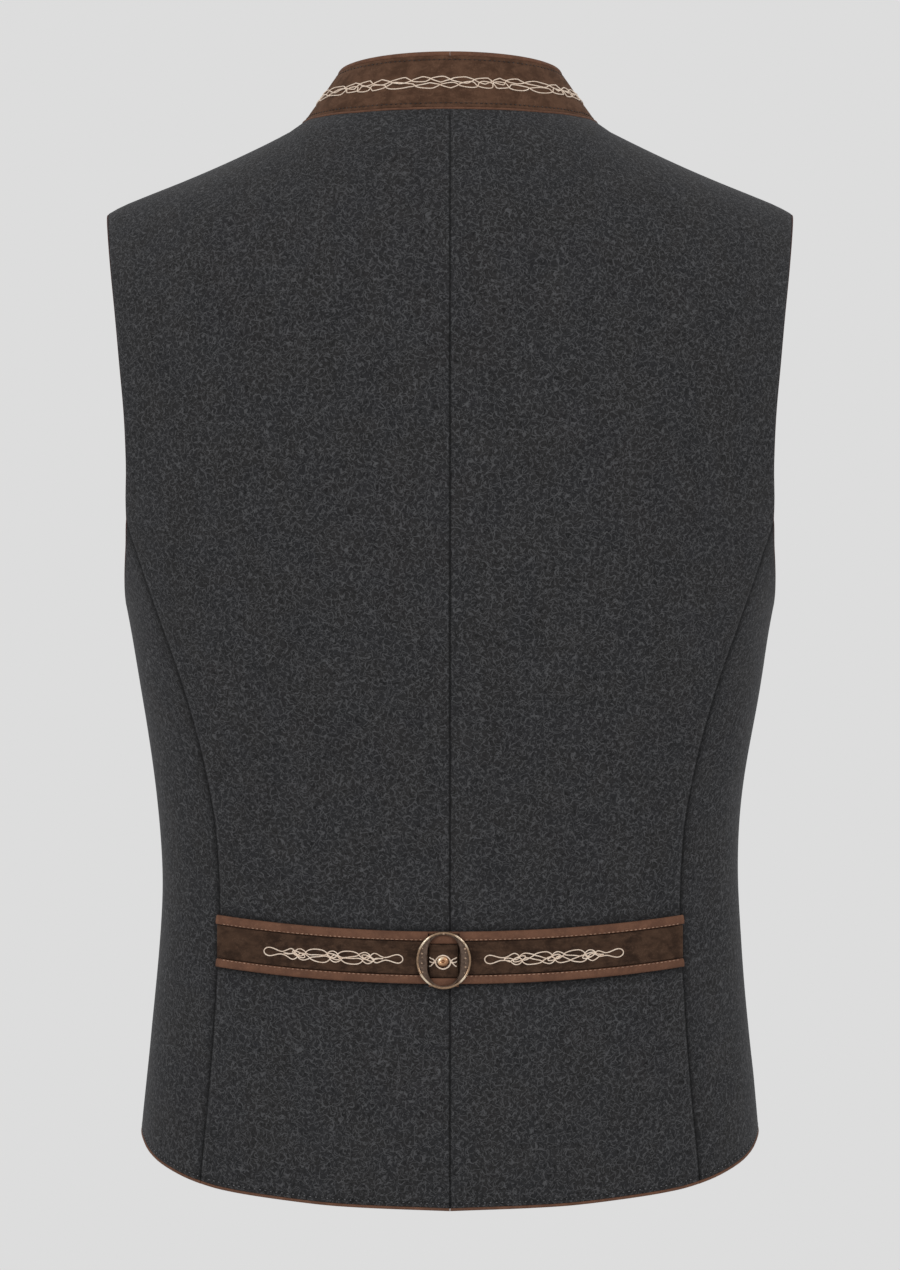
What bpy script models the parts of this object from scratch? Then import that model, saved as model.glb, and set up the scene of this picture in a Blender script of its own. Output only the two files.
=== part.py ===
"""Felt waistcoat with a suede stand collar and a buckled half belt, filled out with no wearer.

The garment hangs as it is worn: +Z is up, the front faces -Y and the wearer's left is +X.
The origin is on the middle plane, level with the neck points of the shoulder seams.
"""

import math
from collections import namedtuple

import bmesh
import bpy
from mathutils import Matrix, Vector

# All sizes are in millimetres. The meshes are written in metres.
MM = 0.001

# Cloth and seams
WALL = 2.0
COLLAR_WALL = 2.4
SEAM_GAP = 0.3
LAY_GAP = 0.4            # between a piece and the panel it lies on
SEAM_ANGLE = 0.0012      # half a seam gap, as an angle round the body
SHOULDER_INSET = 0.0014  # half a seam gap, as a share of the shoulder curve
NECK_INSET = 0.005       # room for the piping at the neckline, as a share of the same curve

# Horizontal sections of the body, from below the hem to the chest line
Section = namedtuple("Section", "z half_width back front")
SECTIONS = [
    Section(-640, 180.2, 120.0, 124.0),
    Section(-586, 179.3, 117.0, 123.5),
    Section(-534, 173.7, 111.0, 122.0),
    Section(-475, 169.1, 106.0, 120.5),
    Section(-431, 167.3, 104.5, 120.0),
    Section(-388, 170.2, 107.5, 121.0),
    Section(-330, 179.3, 115.0, 125.0),
    Section(-280, 188.0, 120.5, 128.0),
    Section(-226, 200.5, 123.2, 127.5),
    Section(-150, 210.0, 124.0, 124.0),
]
SECTION_POWER = 2.5
CHEST_Z = -150.0
CHEST_RUN = 150.0        # millimetres of height for one step of rise below the chest line
CROWN_POWER = 2.2        # roundness of the curves from the chest line up to the shoulder

# Top line of the shoulder, seen from behind
Shoulder = namedtuple("Shoulder", "x z")
SHOULDER = [
    Shoulder(86.0, 0.0),
    Shoulder(93.0, -5.0),
    Shoulder(111.0, -14.0),
    Shoulder(132.0, -23.6),
    Shoulder(154.0, -33.0),
    Shoulder(177.0, -42.2),
    Shoulder(190.0, -47.5),
    Shoulder(198.5, -52.0),
]

# Height over the chest line to which the back and the front would rise inside the neckline
Crown = namedtuple("Crown", "x back front")
NECK_CROWN = [
    Crown(0.0, 177.5, 106.8),
    Crown(30.0, 173.4, 112.0),
    Crown(60.0, 162.7, 127.5),
    Crown(75.0, 155.8, 138.8),
    Crown(86.0, 150.0, 150.0),
]

# Neckline and upper edge of the stand collar
NECK_HALF_WIDTH = 86.0
NECK_BACK = 70.0
NECK_FRONT = 88.0
Ring = namedtuple("Ring", "half_width middle_y back front back_z side_z front_z fall")
COLLAR_TOP = Ring(65.0, 12.0, 48.0, 90.0, 34.0, 27.2, -40.0, 1.5)
COLLAR_HOLLOW = 0.6      # how far the collar's side curves in between its edges
COLLAR_START = 2.0       # height of the collar edge over the neckline
COLLAR_SEAM = 0.5        # gap under the collar binding, measured up the slanting collar
COLLAR_BINDING = 2.0
COLLAR_BINDING_PROUD = 0.3
NECK_PIPING_RADIUS = 0.7
NECK_PIPING_DEPTH = 0.6  # of its centre line, behind the collar's outer face

# Outer edge of a back panel: the curved back seam below, the armhole above
Edge = namedtuple("Edge", "z x")
BACK_EDGE = [
    Edge(-640, 142.5),
    Edge(-606, 141.0),
    Edge(-550, 136.0),
    Edge(-505, 132.9),
    Edge(-450, 130.6),
    Edge(-425, 131.5),
    Edge(-400, 133.8),
    Edge(-363, 141.2),
    Edge(-326, 151.6),
    Edge(-294, 163.0),
    Edge(-272, 171.0),
    Edge(-249, 178.9),
    Edge(-231, 184.4),
    Edge(-200, 184.3),
    Edge(-172, 185.3),
    Edge(-143, 188.0),
    Edge(-114, 191.0),
    Edge(-85, 194.6),
    Edge(-52, 198.5),
]
FRONT_EDGE = [
    Edge(-231, 179.3),
    Edge(-200, 174.2),
    Edge(-170, 171.8),
    Edge(-140, 172.4),
    Edge(-110, 177.2),
    Edge(-85, 185.0),
    Edge(-65, 193.5),
    Edge(-52, 198.5),
]

# The armhole's lower half, an oval from the back seam round to the front
ARMHOLE_TOP_Z = -231.0
ARMHOLE_DEPTH = 50.0
ARMHOLE_MIDDLE_Y = -5.0
ARMHOLE_FRONT_Y = -67.0
SIDE_SEAM = math.radians(98)

# Lower edge of the vest, by the angle round the body from the centre back
Hem = namedtuple("Hem", "degrees z")
HEM = [
    Hem(0, -618.0),
    Hem(28, -615.7),
    Hem(41, -612.8),
    Hem(54, -608.6),
    Hem(61, -604.4),
    Hem(66.5, -600.0),
    Hem(71.5, -595.7),
    Hem(76, -591.3),
    Hem(81, -586.2),
    Hem(90, -582.2),
    Hem(104, -582.0),
    Hem(130, -589.0),
    Hem(160, -599.0),
    Hem(195, -604.0),
]
HEM_PIPING = 1.7
HEM_PIPING_PROUD = 0.2

# The left front laps over the right one
FRONT_LAP = 18.0
FRONT_LAP_ANGLE = 0.15   # the same lap at the hem, as an angle past the centre front
LAP_RISE_START = 46.0
LAP_RISE_END = 22.0
LAP_LIFT = WALL + 0.5

# Buttons down the front
BUTTON_COUNT = 7
BUTTON_TOP_Z = -94.0
BUTTON_SPACING = 78.0
Turn = namedtuple("Turn", "radius height")
BUTTON_PROFILE = [
    Turn(0.0, 0.0),
    Turn(3.0, 0.0),
    Turn(3.0, 1.2),
    Turn(8.1, 1.4),
    Turn(9.0, 1.9),
    Turn(8.5, 2.6),
    Turn(6.3, 3.6),
    Turn(0.0, 4.2),
]

# Half belt, from one back seam to the other
BELT_MIDDLE_Z = -478.4
BELT_END_RISE = 8.0
BELT_END_X = 131.0
BELT_FIELD = 18.6        # height of the suede between its bindings
BELT_UPPER_BINDING = 5.3
BELT_LOWER_BINDING = 4.9
BELT_THICKNESS = 2.2
BINDING_THICKNESS = 2.8

# Ring buckle at the middle of the belt
RING_X = 3.5
RING_Z = -479.4
RING_HALF_WIDTH = 15.8
RING_HALF_HEIGHT = 16.4
RING_HOLE_HALF_WIDTH = 9.6
RING_HOLE_HALF_HEIGHT = 15.0
RING_HOLE_POWER = 2.6    # how square the opening is
RING_THICKNESS = 1.6
RING_LIFT = 5.3
RING_SLOPE = 1.6         # how much lower the buckle's sides lie than its middle
BRIDGE_HALF_WIDTH = 8.4
BRIDGE_ARCH = 2.3
BRIDGE_DROP = 1.6        # how much lower the short strap lies than the two halves of the belt
BRIDGE_THICKNESS = 1.8
BRIDGE_BINDING_PROUD = 0.3
BELT_CLEARANCE = 0.4     # from the strap's opening in the ring to the ends of the belt halves
RIVET_STRETCH = 1.3      # the rivet is an oval, wider than it is high
RIVET_PROFILE = [
    Turn(0.0, 0.0),
    Turn(2.3, 0.0),
    Turn(2.9, 0.45),
    Turn(2.7, 0.95),
    Turn(2.05, 1.45),
    Turn(1.2, 1.7),
    Turn(0.7, 1.45),
    Turn(0.0, 1.25),
]

PIPING_RADIUS = 0.8

# Columns and rows of the meshes
NECK_COLUMNS = 8
SHOULDER_COLUMNS = 7
SIDE_ROWS = 13           # from the hem to the armhole, along the seam of back and side
BACK_BLADE_ROWS = 3      # from there to the chest line
BACK_UPPER_ROWS = 7
BACK_ROWS = SIDE_ROWS + BACK_BLADE_ROWS + BACK_UPPER_ROWS
SIDE_COLUMNS = 7
FRONT_LOWER_ROWS = 9
FRONT_ARMHOLE_ROWS = 4
FRONT_UPPER_ROWS = 7
FRONT_ROWS = FRONT_LOWER_ROWS + FRONT_ARMHOLE_ROWS + FRONT_UPPER_ROWS
COLLAR_COLUMNS = 48
COLLAR_ROWS = 3
BELT_COLUMNS = 12
BRIDGE_COLUMNS = 8
RING_COLUMNS = 48
RIVET_COLUMNS = 20
BUTTON_COLUMNS = 12


def clear_scene():
    for item in list(bpy.data.objects):
        bpy.data.objects.remove(item, do_unlink=True)


def make_material(name, color, roughness, metallic=0.0):
    material = bpy.data.materials.new(name)
    material.use_nodes = True
    shader = material.node_tree.nodes["Principled BSDF"]
    shader.inputs["Base Color"].default_value = (*color, 1.0)
    shader.inputs["Roughness"].default_value = roughness
    shader.inputs["Metallic"].default_value = metallic
    material.diffuse_color = (*color, 1.0)
    return material


def mix(first, second, share):
    return first + (second - first) * share


def soft_step(share):
    share = min(max(share, 0.0), 1.0)
    return share * share * (3 - 2 * share)


def read_table(rows, key, column, at, start_slope=None, end_slope=None):
    """Read a column of a table at a place between its rows, along a smooth curve through them."""
    knots = [getattr(row, key) for row in rows]
    values = [getattr(row, column) for row in rows]
    last = len(rows) - 1

    def slope(index):
        if index == 0 and start_slope is not None:
            return start_slope
        if index == last and end_slope is not None:
            return end_slope
        before = max(index - 1, 0)
        after = min(index + 1, last)
        return (values[after] - values[before]) / (knots[after] - knots[before])

    index = 0
    while index < last - 1 and at > knots[index + 1]:
        index += 1
    span = knots[index + 1] - knots[index]
    t = (at - knots[index]) / span
    start = values[index] * (1 + 2 * t) * (1 - t) ** 2 + slope(index) * span * t * (1 - t) ** 2
    end = values[index + 1] * t * t * (3 - 2 * t) - slope(index + 1) * span * t * t * (1 - t)
    return start + end


def section_sizes(z, front):
    half_width = read_table(SECTIONS, "z", "half_width", z, end_slope=0)
    depth = read_table(SECTIONS, "z", "front" if front else "back", z, end_slope=0)
    return half_width, depth


def section_point(angle, z):
    """Point of the body at a height. The angle runs from the centre back over the side."""
    half_width, depth = section_sizes(z, math.cos(angle) < 0)
    across = (abs(math.sin(angle)) / half_width) ** SECTION_POWER
    along = (abs(math.cos(angle)) / depth) ** SECTION_POWER
    reach = (across + along) ** (-1 / SECTION_POWER)
    return Vector((reach * math.sin(angle), reach * math.cos(angle), z))


def angle_at_x(x, z, front=False):
    half_width, depth = section_sizes(z, front)
    share = 1 - (abs(x) / half_width) ** SECTION_POWER
    angle = math.atan2(x, depth * share ** (1 / SECTION_POWER))
    return math.pi - angle if front else angle


def angle_at_y(y, z):
    half_width, depth = section_sizes(z, y < 0)
    share = 1 - (abs(y) / depth) ** SECTION_POWER
    return math.atan2(half_width * share ** (1 / SECTION_POWER), y)


def crown_height(x, front):
    """Height over the chest line of the curve that rises at a given distance from the middle."""
    if abs(x) >= NECK_HALF_WIDTH:
        return read_table(SHOULDER, "x", "z", abs(x)) - CHEST_Z
    first, second = SHOULDER[:2]
    shoulder_slope = (second.z - first.z) / (second.x - first.x)
    return read_table(NECK_CROWN, "x", "front" if front else "back", abs(x),
                      start_slope=0, end_slope=shoulder_slope)


def neckline_y(x, front):
    """Distance of the neckline from the shoulder line, or 0 outside the neck."""
    share = max(1 - (x / NECK_HALF_WIDTH) ** 2, 0.0)
    return (NECK_FRONT if front else NECK_BACK) * math.sqrt(share)


def neckline_point(angle):
    """Point of the neckline. The angle runs from the centre back over the side to the front."""
    front = math.cos(angle) < 0
    x = NECK_HALF_WIDTH * math.sin(angle)
    start = section_point(angle_at_x(x, CHEST_Z, front), CHEST_Z)
    y = neckline_y(x, front)
    share = 1 - (y / abs(start.y)) ** CROWN_POWER
    z = CHEST_Z + crown_height(x, front) * share ** (1 / CROWN_POWER)
    return Vector((x, -y if front else y, z))


def ring_point(ring, angle):
    """Point of the collar's upper edge, for the same angles as the neckline."""
    x = ring.half_width * math.sin(angle)
    turn = math.cos(angle)
    if turn >= 0:
        return Vector((x, ring.middle_y + ring.back * turn, mix(ring.side_z, ring.back_z, turn)))
    z = mix(ring.side_z, ring.front_z, (-turn) ** ring.fall)
    z += (ring.back_z - ring.side_z) * turn * (1 + turn)
    return Vector((x, ring.middle_y + ring.front * turn, z))


def skin(angle, rise):
    """Point of the body's outer surface.

    Below the chest line rise is negative and counts steps of CHEST_RUN. Above it rise goes from 0 to 1,
    along a curve that ends on the shoulder line or on the neckline.
    """
    if rise <= 0:
        return section_point(angle, CHEST_Z + rise * CHEST_RUN)
    start = section_point(angle, CHEST_Z)
    front = math.cos(angle) < 0
    share = neckline_y(start.x, front) / abs(start.y)
    turn = rise * math.acos(share ** (CROWN_POWER / 2))
    inward = math.copysign(abs(math.cos(turn)) ** (2 / CROWN_POWER), math.cos(turn))
    upward = math.sin(turn) ** (2 / CROWN_POWER)
    return Vector((start.x, start.y * inward, CHEST_Z + crown_height(start.x, front) * upward))


def rise_of(z):
    return (z - CHEST_Z) / CHEST_RUN


def halve(low, high, is_low):
    """Narrow an interval down to the value at which is_low turns false."""
    for _ in range(30):
        middle = (low + high) / 2
        if is_low(middle):
            low = middle
        else:
            high = middle
    return low


def hem_rise(angle):
    return rise_of(read_table(HEM, "degrees", "z", math.degrees(angle)))


def edge_angle(edge, rise, front=False):
    """Angle at which a panel's outer edge crosses a given rise."""
    if rise <= 0:
        z = CHEST_Z + rise * CHEST_RUN
        return angle_at_x(read_table(edge, "z", "x", z), z, front)
    x = edge[-1].x
    for _ in range(6):
        z = skin(angle_at_x(x, CHEST_Z, front), rise).z
        x = read_table(edge, "z", "x", min(z, edge[-1].z))
    return angle_at_x(x, CHEST_Z, front)


def top_x(share, inner_x, outer_x):
    """Place of a panel's column on its top edge: first along the neckline, then along the shoulder."""
    corner = NECK_COLUMNS / (NECK_COLUMNS + SHOULDER_COLUMNS)
    if share < corner:
        first = math.asin(inner_x / NECK_HALF_WIDTH)
        return NECK_HALF_WIDTH * math.sin(mix(first, math.pi / 2, share / corner))
    return mix(NECK_HALF_WIDTH, outer_x, (share - corner) / (1 - corner))


def top_rise(share):
    corner = NECK_COLUMNS / (NECK_COLUMNS + SHOULDER_COLUMNS)
    return 1 - (NECK_INSET if share <= corner else SHOULDER_INSET)


def outward(place, u, v, step=0.001):
    """Outward normal of a piece at one of its places."""
    across = place(u + step, v) - place(u - step, v)
    along = place(u, v + step) - place(u, v - step)
    normal = along.cross(across).normalized()
    point = place(u, v)
    away = Vector((point.x, point.y, point.z - CHEST_Z if point.z > CHEST_Z else 0.0))
    return normal if normal.dot(away) > 0 else -normal


def back_place(u, v):
    """A back panel, from the centre back seam to the back seam and armhole, hem to shoulder."""
    row = v * BACK_ROWS
    blade_row = row - SIDE_ROWS
    upper_row = blade_row - BACK_BLADE_ROWS
    if blade_row <= 0:
        hem_angle = mix(0, edge_angle(BACK_EDGE, rise_of(HEM[4].z)), u)
        rise = mix(hem_rise(hem_angle), rise_of(ARMHOLE_TOP_Z), row / SIDE_ROWS)
    elif upper_row <= 0:
        rise = mix(rise_of(ARMHOLE_TOP_Z), 0, blade_row / BACK_BLADE_ROWS)
    else:
        rise = top_rise(u) * upper_row / BACK_UPPER_ROWS
    outer = edge_angle(BACK_EDGE, rise) - SEAM_ANGLE
    angle = mix(SEAM_ANGLE, outer, u)
    if rise > 0:
        x = top_x(u, SEAM_GAP / 2, SHOULDER[-1].x)
        angle = mix(angle, min(angle_at_x(x, CHEST_Z), outer), soft_step(rise))
    return skin(angle, rise)


def armhole_oval(turn):
    """Angle and rise on the armhole's lower half, for turns from 0 at the back to pi at the front."""
    z = ARMHOLE_TOP_Z - ARMHOLE_DEPTH * math.sin(turn)
    back_y = section_point(edge_angle(BACK_EDGE, rise_of(ARMHOLE_TOP_Z)), ARMHOLE_TOP_Z).y
    end_y = back_y if math.cos(turn) > 0 else ARMHOLE_FRONT_Y
    y = mix(ARMHOLE_MIDDLE_Y, end_y, abs(math.cos(turn)))
    return angle_at_y(y, z), rise_of(z)


def side_seam_turn():
    """Turn of the armhole oval at which it meets the side seam."""
    return halve(math.pi / 2, math.pi, lambda turn: armhole_oval(turn)[0] < SIDE_SEAM)


SIDE_TURN = side_seam_turn()


def side_place(u, v):
    """A side panel, from the back seam to the side seam, hem to armhole."""
    top_angle, rise_end = armhole_oval(u * SIDE_TURN)
    back_angle = edge_angle(BACK_EDGE, rise_of(ARMHOLE_TOP_Z))
    share = (top_angle - back_angle) / (SIDE_SEAM - back_angle)
    low_angle = mix(edge_angle(BACK_EDGE, rise_of(HEM[4].z)), SIDE_SEAM, share)
    rise = mix(hem_rise(low_angle), rise_end, v)
    back = edge_angle(BACK_EDGE, min(rise, rise_of(ARMHOLE_TOP_Z))) + SEAM_ANGLE
    return skin(mix(back, SIDE_SEAM - SEAM_ANGLE, share), rise)


def front_place(u, v):
    """A front panel, from its free edge past the centre to the side seam and armhole."""
    row = v * FRONT_ROWS
    turn_angle, turn_rise = armhole_oval(SIDE_TURN)
    oval_top = rise_of(ARMHOLE_TOP_Z)
    if row <= FRONT_LOWER_ROWS:
        low = hem_rise(mix(math.pi + FRONT_LAP_ANGLE, SIDE_SEAM, u))
        inner_rise = mix(low, turn_rise, row / FRONT_LOWER_ROWS)
        outer_rise = inner_rise
        outer = SIDE_SEAM
    elif row <= FRONT_LOWER_ROWS + FRONT_ARMHOLE_ROWS:
        share = (row - FRONT_LOWER_ROWS) / FRONT_ARMHOLE_ROWS
        inner_rise = mix(turn_rise, oval_top, share)
        outer, outer_rise = armhole_oval(mix(SIDE_TURN, math.pi, share))
    else:
        share = (row - FRONT_LOWER_ROWS - FRONT_ARMHOLE_ROWS) / FRONT_UPPER_ROWS
        inner_rise = mix(oval_top, top_rise(u), share)
        outer_rise = inner_rise
        outer = edge_angle(FRONT_EDGE, outer_rise, front=True)
    outer += SEAM_ANGLE
    rise = mix(inner_rise, outer_rise, u)
    inner = angle_at_x(-FRONT_LAP, CHEST_Z + min(rise, 0.0) * CHEST_RUN, front=True)
    angle = mix(inner, outer, u)
    if rise > 0:
        x = top_x(u, -FRONT_LAP, SHOULDER[-1].x)
        angle = mix(angle, max(angle_at_x(x, CHEST_Z, front=True), outer), soft_step(rise))
    return skin(angle, rise)


def lap_lift(point):
    """How far the left front stands out where it laps over the right one."""
    return LAP_LIFT * soft_step((LAP_RISE_START - point.x) / (LAP_RISE_START - LAP_RISE_END))


def collar_place(u, v):
    """The collar round the neck. v is 0 at the neckline and 1 at the collar's upper edge."""
    gap = SEAM_GAP / 2 / NECK_HALF_WIDTH
    angle = mix(-math.pi + gap, math.pi - gap, u)
    low = neckline_point(angle)
    high = ring_point(COLLAR_TOP, angle)
    point = low + (high - low) * v
    inward = Vector((-math.sin(angle), -math.cos(angle), 0))
    return point + inward * COLLAR_HOLLOW * 4 * v * (1 - v)


def collar_length(angle):
    return (ring_point(COLLAR_TOP, angle) - neckline_point(angle)).length


def surface_place(x, z):
    """Point of the back at a given place seen from behind."""
    return section_point(angle_at_x(x, z), z)


def surface_normal(x, z):
    return outward(surface_place, x, z, step=0.1)


def belt_middle(x):
    return BELT_MIDDLE_Z + BELT_END_RISE * (x / BELT_END_X) ** 2


def new_object(name, mesh, material):
    mesh.materials.append(material)
    made = bpy.data.objects.new(name, mesh)
    bpy.data.collections["felt_waistcoat"].objects.link(made)
    return made


def finish_mesh(name, material, bm, sharp_degrees=40):
    bmesh.ops.recalc_face_normals(bm, faces=bm.faces)
    if bm.calc_volume(signed=True) < 0:
        bmesh.ops.reverse_faces(bm, faces=bm.faces)
    bmesh.ops.scale(bm, vec=(MM, MM, MM), verts=bm.verts)
    mesh = bpy.data.meshes.new(name)
    bm.to_mesh(mesh)
    bm.free()
    mesh.shade_smooth()
    mesh.set_sharp_from_angle(angle=math.radians(sharp_degrees))
    return new_object(name, mesh, material)


def offset_value(offset, point):
    return offset(point) if callable(offset) else offset


def wall(name, material, place, columns, rows, inner=-WALL, outer=0.0, side=1, closed=False):
    """Make one closed piece whose two faces follow place(u, v), moved along its outward normal."""
    bm = bmesh.new()
    bmesh.ops.create_grid(bm, x_segments=columns, y_segments=rows, size=0.5)
    places = {vert: (vert.co.x + 0.5, vert.co.y + 0.5) for vert in bm.verts}
    if closed:
        first = {round(v, 4): vert for vert, (u, v) in places.items() if u < 0.0001}
        joined = {vert: first[round(v, 4)] for vert, (u, v) in places.items() if u > 0.9999}
        bmesh.ops.weld_verts(bm, targetmap=joined)
    faces = list(bm.faces)
    rim = [edge for edge in bm.edges if edge.is_boundary]
    twins = {}
    for vert in list(bm.verts):
        u, v = places[vert]
        point = place(u, v)
        normal = outward(place, u, v)
        vert.co = point + normal * offset_value(outer, point)
        twins[vert] = bm.verts.new(point + normal * offset_value(inner, point))
    for face in faces:
        bm.faces.new([twins[vert] for vert in reversed(face.verts)])
    for edge in rim:
        first, second = edge.verts
        bm.faces.new([first, second, twins[second], twins[first]])
    if side < 0:
        bmesh.ops.scale(bm, vec=(-1, 1, 1), verts=bm.verts)
    return finish_mesh(name, material, bm)


def tube(name, material, points, radius, closed=False):
    """Make a thin round cord through points, as a bevelled curve."""
    curve = bpy.data.curves.new(name, "CURVE")
    curve.dimensions = "3D"
    curve.bevel_depth = radius * MM
    curve.bevel_resolution = 1
    curve.use_fill_caps = True
    spline = curve.splines.new("POLY")
    spline.points.add(len(points) - 1)
    for knot, point in zip(spline.points, points):
        knot.co = (*(point * MM), 1.0)
    spline.use_cyclic_u = closed
    guide = bpy.data.objects.new(name + "_guide", curve)
    bpy.context.scene.collection.objects.link(guide)
    graph = bpy.context.evaluated_depsgraph_get()
    mesh = bpy.data.meshes.new_from_object(guide.evaluated_get(graph))
    bpy.data.objects.remove(guide, do_unlink=True)
    bm = bmesh.new()
    bm.from_mesh(mesh)
    bpy.data.meshes.remove(mesh)
    bmesh.ops.remove_doubles(bm, verts=bm.verts, dist=0.00001)
    bmesh.ops.scale(bm, vec=(1 / MM, 1 / MM, 1 / MM), verts=bm.verts)
    return finish_mesh(name, material, bm)


def turned(name, material, profile, segments, point, normal, stretch=1.0):
    """Make a turned piece from a table of radius and height, standing on a point."""
    bm = bmesh.new()
    verts = [bm.verts.new((row.radius, 0, row.height)) for row in profile]
    edges = [bm.edges.new(pair) for pair in zip(verts, verts[1:])]
    bmesh.ops.spin(bm, geom=verts + edges, cent=(0, 0, 0), axis=(0, 0, 1), angle=2 * math.pi,
                   steps=segments, use_merge=True)
    bmesh.ops.remove_doubles(bm, verts=bm.verts, dist=0.001)
    bmesh.ops.scale(bm, vec=(stretch, 1, 1), verts=bm.verts)
    turn = normal.to_track_quat("Z", "Y").to_matrix().to_4x4()
    bmesh.ops.transform(bm, matrix=Matrix.Translation(point) @ turn, verts=bm.verts)
    return finish_mesh(name, material, bm)


def add_panels(felt):
    columns = NECK_COLUMNS + SHOULDER_COLUMNS
    for word, side in (("left", 1), ("right", -1)):
        wall("back_" + word, felt, back_place, columns, BACK_ROWS, side=side)
        wall("side_" + word, felt, side_place, SIDE_COLUMNS, SIDE_ROWS, side=side)
    wall("front_left", felt, front_place, columns, FRONT_ROWS,
         inner=lambda point: lap_lift(point) - WALL, outer=lap_lift)
    wall("front_right", felt, front_place, columns, FRONT_ROWS, side=-1)


def add_hem_piping(leather):
    """A narrow strip of leather that closes each panel's lower edge."""
    columns = NECK_COLUMNS + SHOULDER_COLUMNS
    pieces = (("back", back_place, columns), ("side", side_place, SIDE_COLUMNS),
              ("front", front_place, columns))
    for word, side in (("left", 1), ("right", -1)):
        for panel, place, count in pieces:
            lift = lap_lift if panel == "front" and side > 0 else lambda point: 0.0

            def strip(u, v, place=place):
                edge = place(u, 0)
                down = (edge - place(u, 0.01)).normalized()
                return edge + down * mix(SEAM_GAP + HEM_PIPING, SEAM_GAP, v)

            wall("hem_piping_" + panel + "_" + word, leather, strip, count, 1,
                 inner=lambda point, lift=lift: lift(point) - WALL - HEM_PIPING_PROUD,
                 outer=lambda point, lift=lift: lift(point) + HEM_PIPING_PROUD, side=side)


def armhole_path():
    """Centre line of the armhole's piping, beside the edges of the three panels round it."""
    path = []
    for row in range(BACK_ROWS, SIDE_ROWS, -1):
        v = row / BACK_ROWS
        path.append((back_place(1, v), outward(back_place, 1, v)))
    for column in range(SIDE_COLUMNS + 1):
        u = column / SIDE_COLUMNS
        path.append((side_place(u, 1), outward(side_place, u, 1)))
    for row in range(FRONT_LOWER_ROWS + 1, FRONT_ROWS + 1):
        v = row / FRONT_ROWS
        path.append((front_place(1, v), outward(front_place, 1, v)))
    count = len(path)
    middle_line = []
    for index, (point, normal) in enumerate(path):
        along = path[(index + 1) % count][0] - path[index - 1][0]
        inward = normal.cross(along).normalized()
        centre = Vector((point.x, 0, (ARMHOLE_TOP_Z + SHOULDER[-1].z) / 2))
        if inward.dot(centre - point) < 0:
            inward = -inward
        middle_line.append(point + inward * (SEAM_GAP + PIPING_RADIUS) - normal * WALL / 2)
    return middle_line


def add_armhole_piping(leather):
    path = armhole_path()
    for word, side in (("left", 1), ("right", -1)):
        points = [Vector((point.x * side, point.y, point.z)) for point in path]
        tube("armhole_piping_" + word, leather, points, PIPING_RADIUS, closed=True)


def add_collar(suede, leather):
    back_length = collar_length(0)
    start = COLLAR_START / back_length
    wall("collar", suede, lambda u, v: collar_place(u, mix(start, 1, v)), COLLAR_COLUMNS,
         COLLAR_ROWS, inner=-COLLAR_WALL)
    low = 1 + COLLAR_SEAM / back_length
    high = low + COLLAR_BINDING / back_length
    half_gap = SEAM_GAP / 2 / (math.pi * COLLAR_TOP.half_width * 2)
    for word, begin, end in (("left", 0.5 + half_gap, 1), ("right", 0, 0.5 - half_gap)):
        wall("collar_binding_" + word, leather,
             lambda u, v, begin=begin, end=end: collar_place(mix(begin, end, u), mix(low, high, v)),
             COLLAR_COLUMNS // 2, 1, inner=-COLLAR_WALL - COLLAR_BINDING_PROUD,
             outer=COLLAR_BINDING_PROUD)
    lift = COLLAR_START / 2 / back_length
    points = []
    for column in range(COLLAR_COLUMNS + 1):
        u = column / COLLAR_COLUMNS
        normal = outward(collar_place, u, lift)
        points.append(collar_place(u, lift) - normal * NECK_PIPING_DEPTH)
    tube("collar_piping", leather, points, NECK_PIPING_RADIUS)


def belt_strip(start_x, end_x, low, high, drop=0.0):
    """Place function of a level strip of the belt between two heights over its middle line."""
    def place(u, v):
        x = mix(start_x, end_x, u)
        return surface_place(x, belt_middle(x) - drop + mix(low, high, v))
    return place


def belt_bands():
    """Lower and upper limits of the belt's three bands, from its middle line."""
    half = (BELT_FIELD + BELT_UPPER_BINDING + BELT_LOWER_BINDING) / 2 + SEAM_GAP
    field_low = -half + BELT_LOWER_BINDING + SEAM_GAP
    field_high = field_low + BELT_FIELD
    return {
        "": (field_low, field_high),
        "_upper_binding": (field_high + SEAM_GAP, half),
        "_lower_binding": (-half, field_low - SEAM_GAP),
    }


def bridge_lift(point):
    """Height of the short strap that arches up into the ring."""
    share = min(abs(point.x - RING_X) / BRIDGE_HALF_WIDTH, 1.0)
    return LAY_GAP + BRIDGE_ARCH * (1 - share ** 2)


def add_belt(suede, leather):
    hole = RING_HOLE_HALF_WIDTH + BELT_CLEARANCE
    for word, start_x, end_x in (("left", RING_X + hole, BELT_END_X),
                                 ("right", RING_X - hole, -BELT_END_X)):
        for band, (low, high) in belt_bands().items():
            binding = band != ""
            thickness = BINDING_THICKNESS if binding else BELT_THICKNESS
            wall("belt_" + word + band, leather if binding else suede,
                 belt_strip(start_x, end_x, low, high), BELT_COLUMNS, 1 if binding else 2,
                 inner=LAY_GAP, outer=LAY_GAP + thickness)
    for band, (low, high) in belt_bands().items():
        thickness = BRIDGE_THICKNESS + (BRIDGE_BINDING_PROUD if band else 0.0)
        wall("belt_bridge" + band, leather if band else suede,
             belt_strip(RING_X - BRIDGE_HALF_WIDTH, RING_X + BRIDGE_HALF_WIDTH, low, high,
                        drop=BRIDGE_DROP),
             BRIDGE_COLUMNS, 1 if band else 2, inner=bridge_lift,
             outer=lambda point, thickness=thickness: bridge_lift(point) + thickness)


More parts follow.
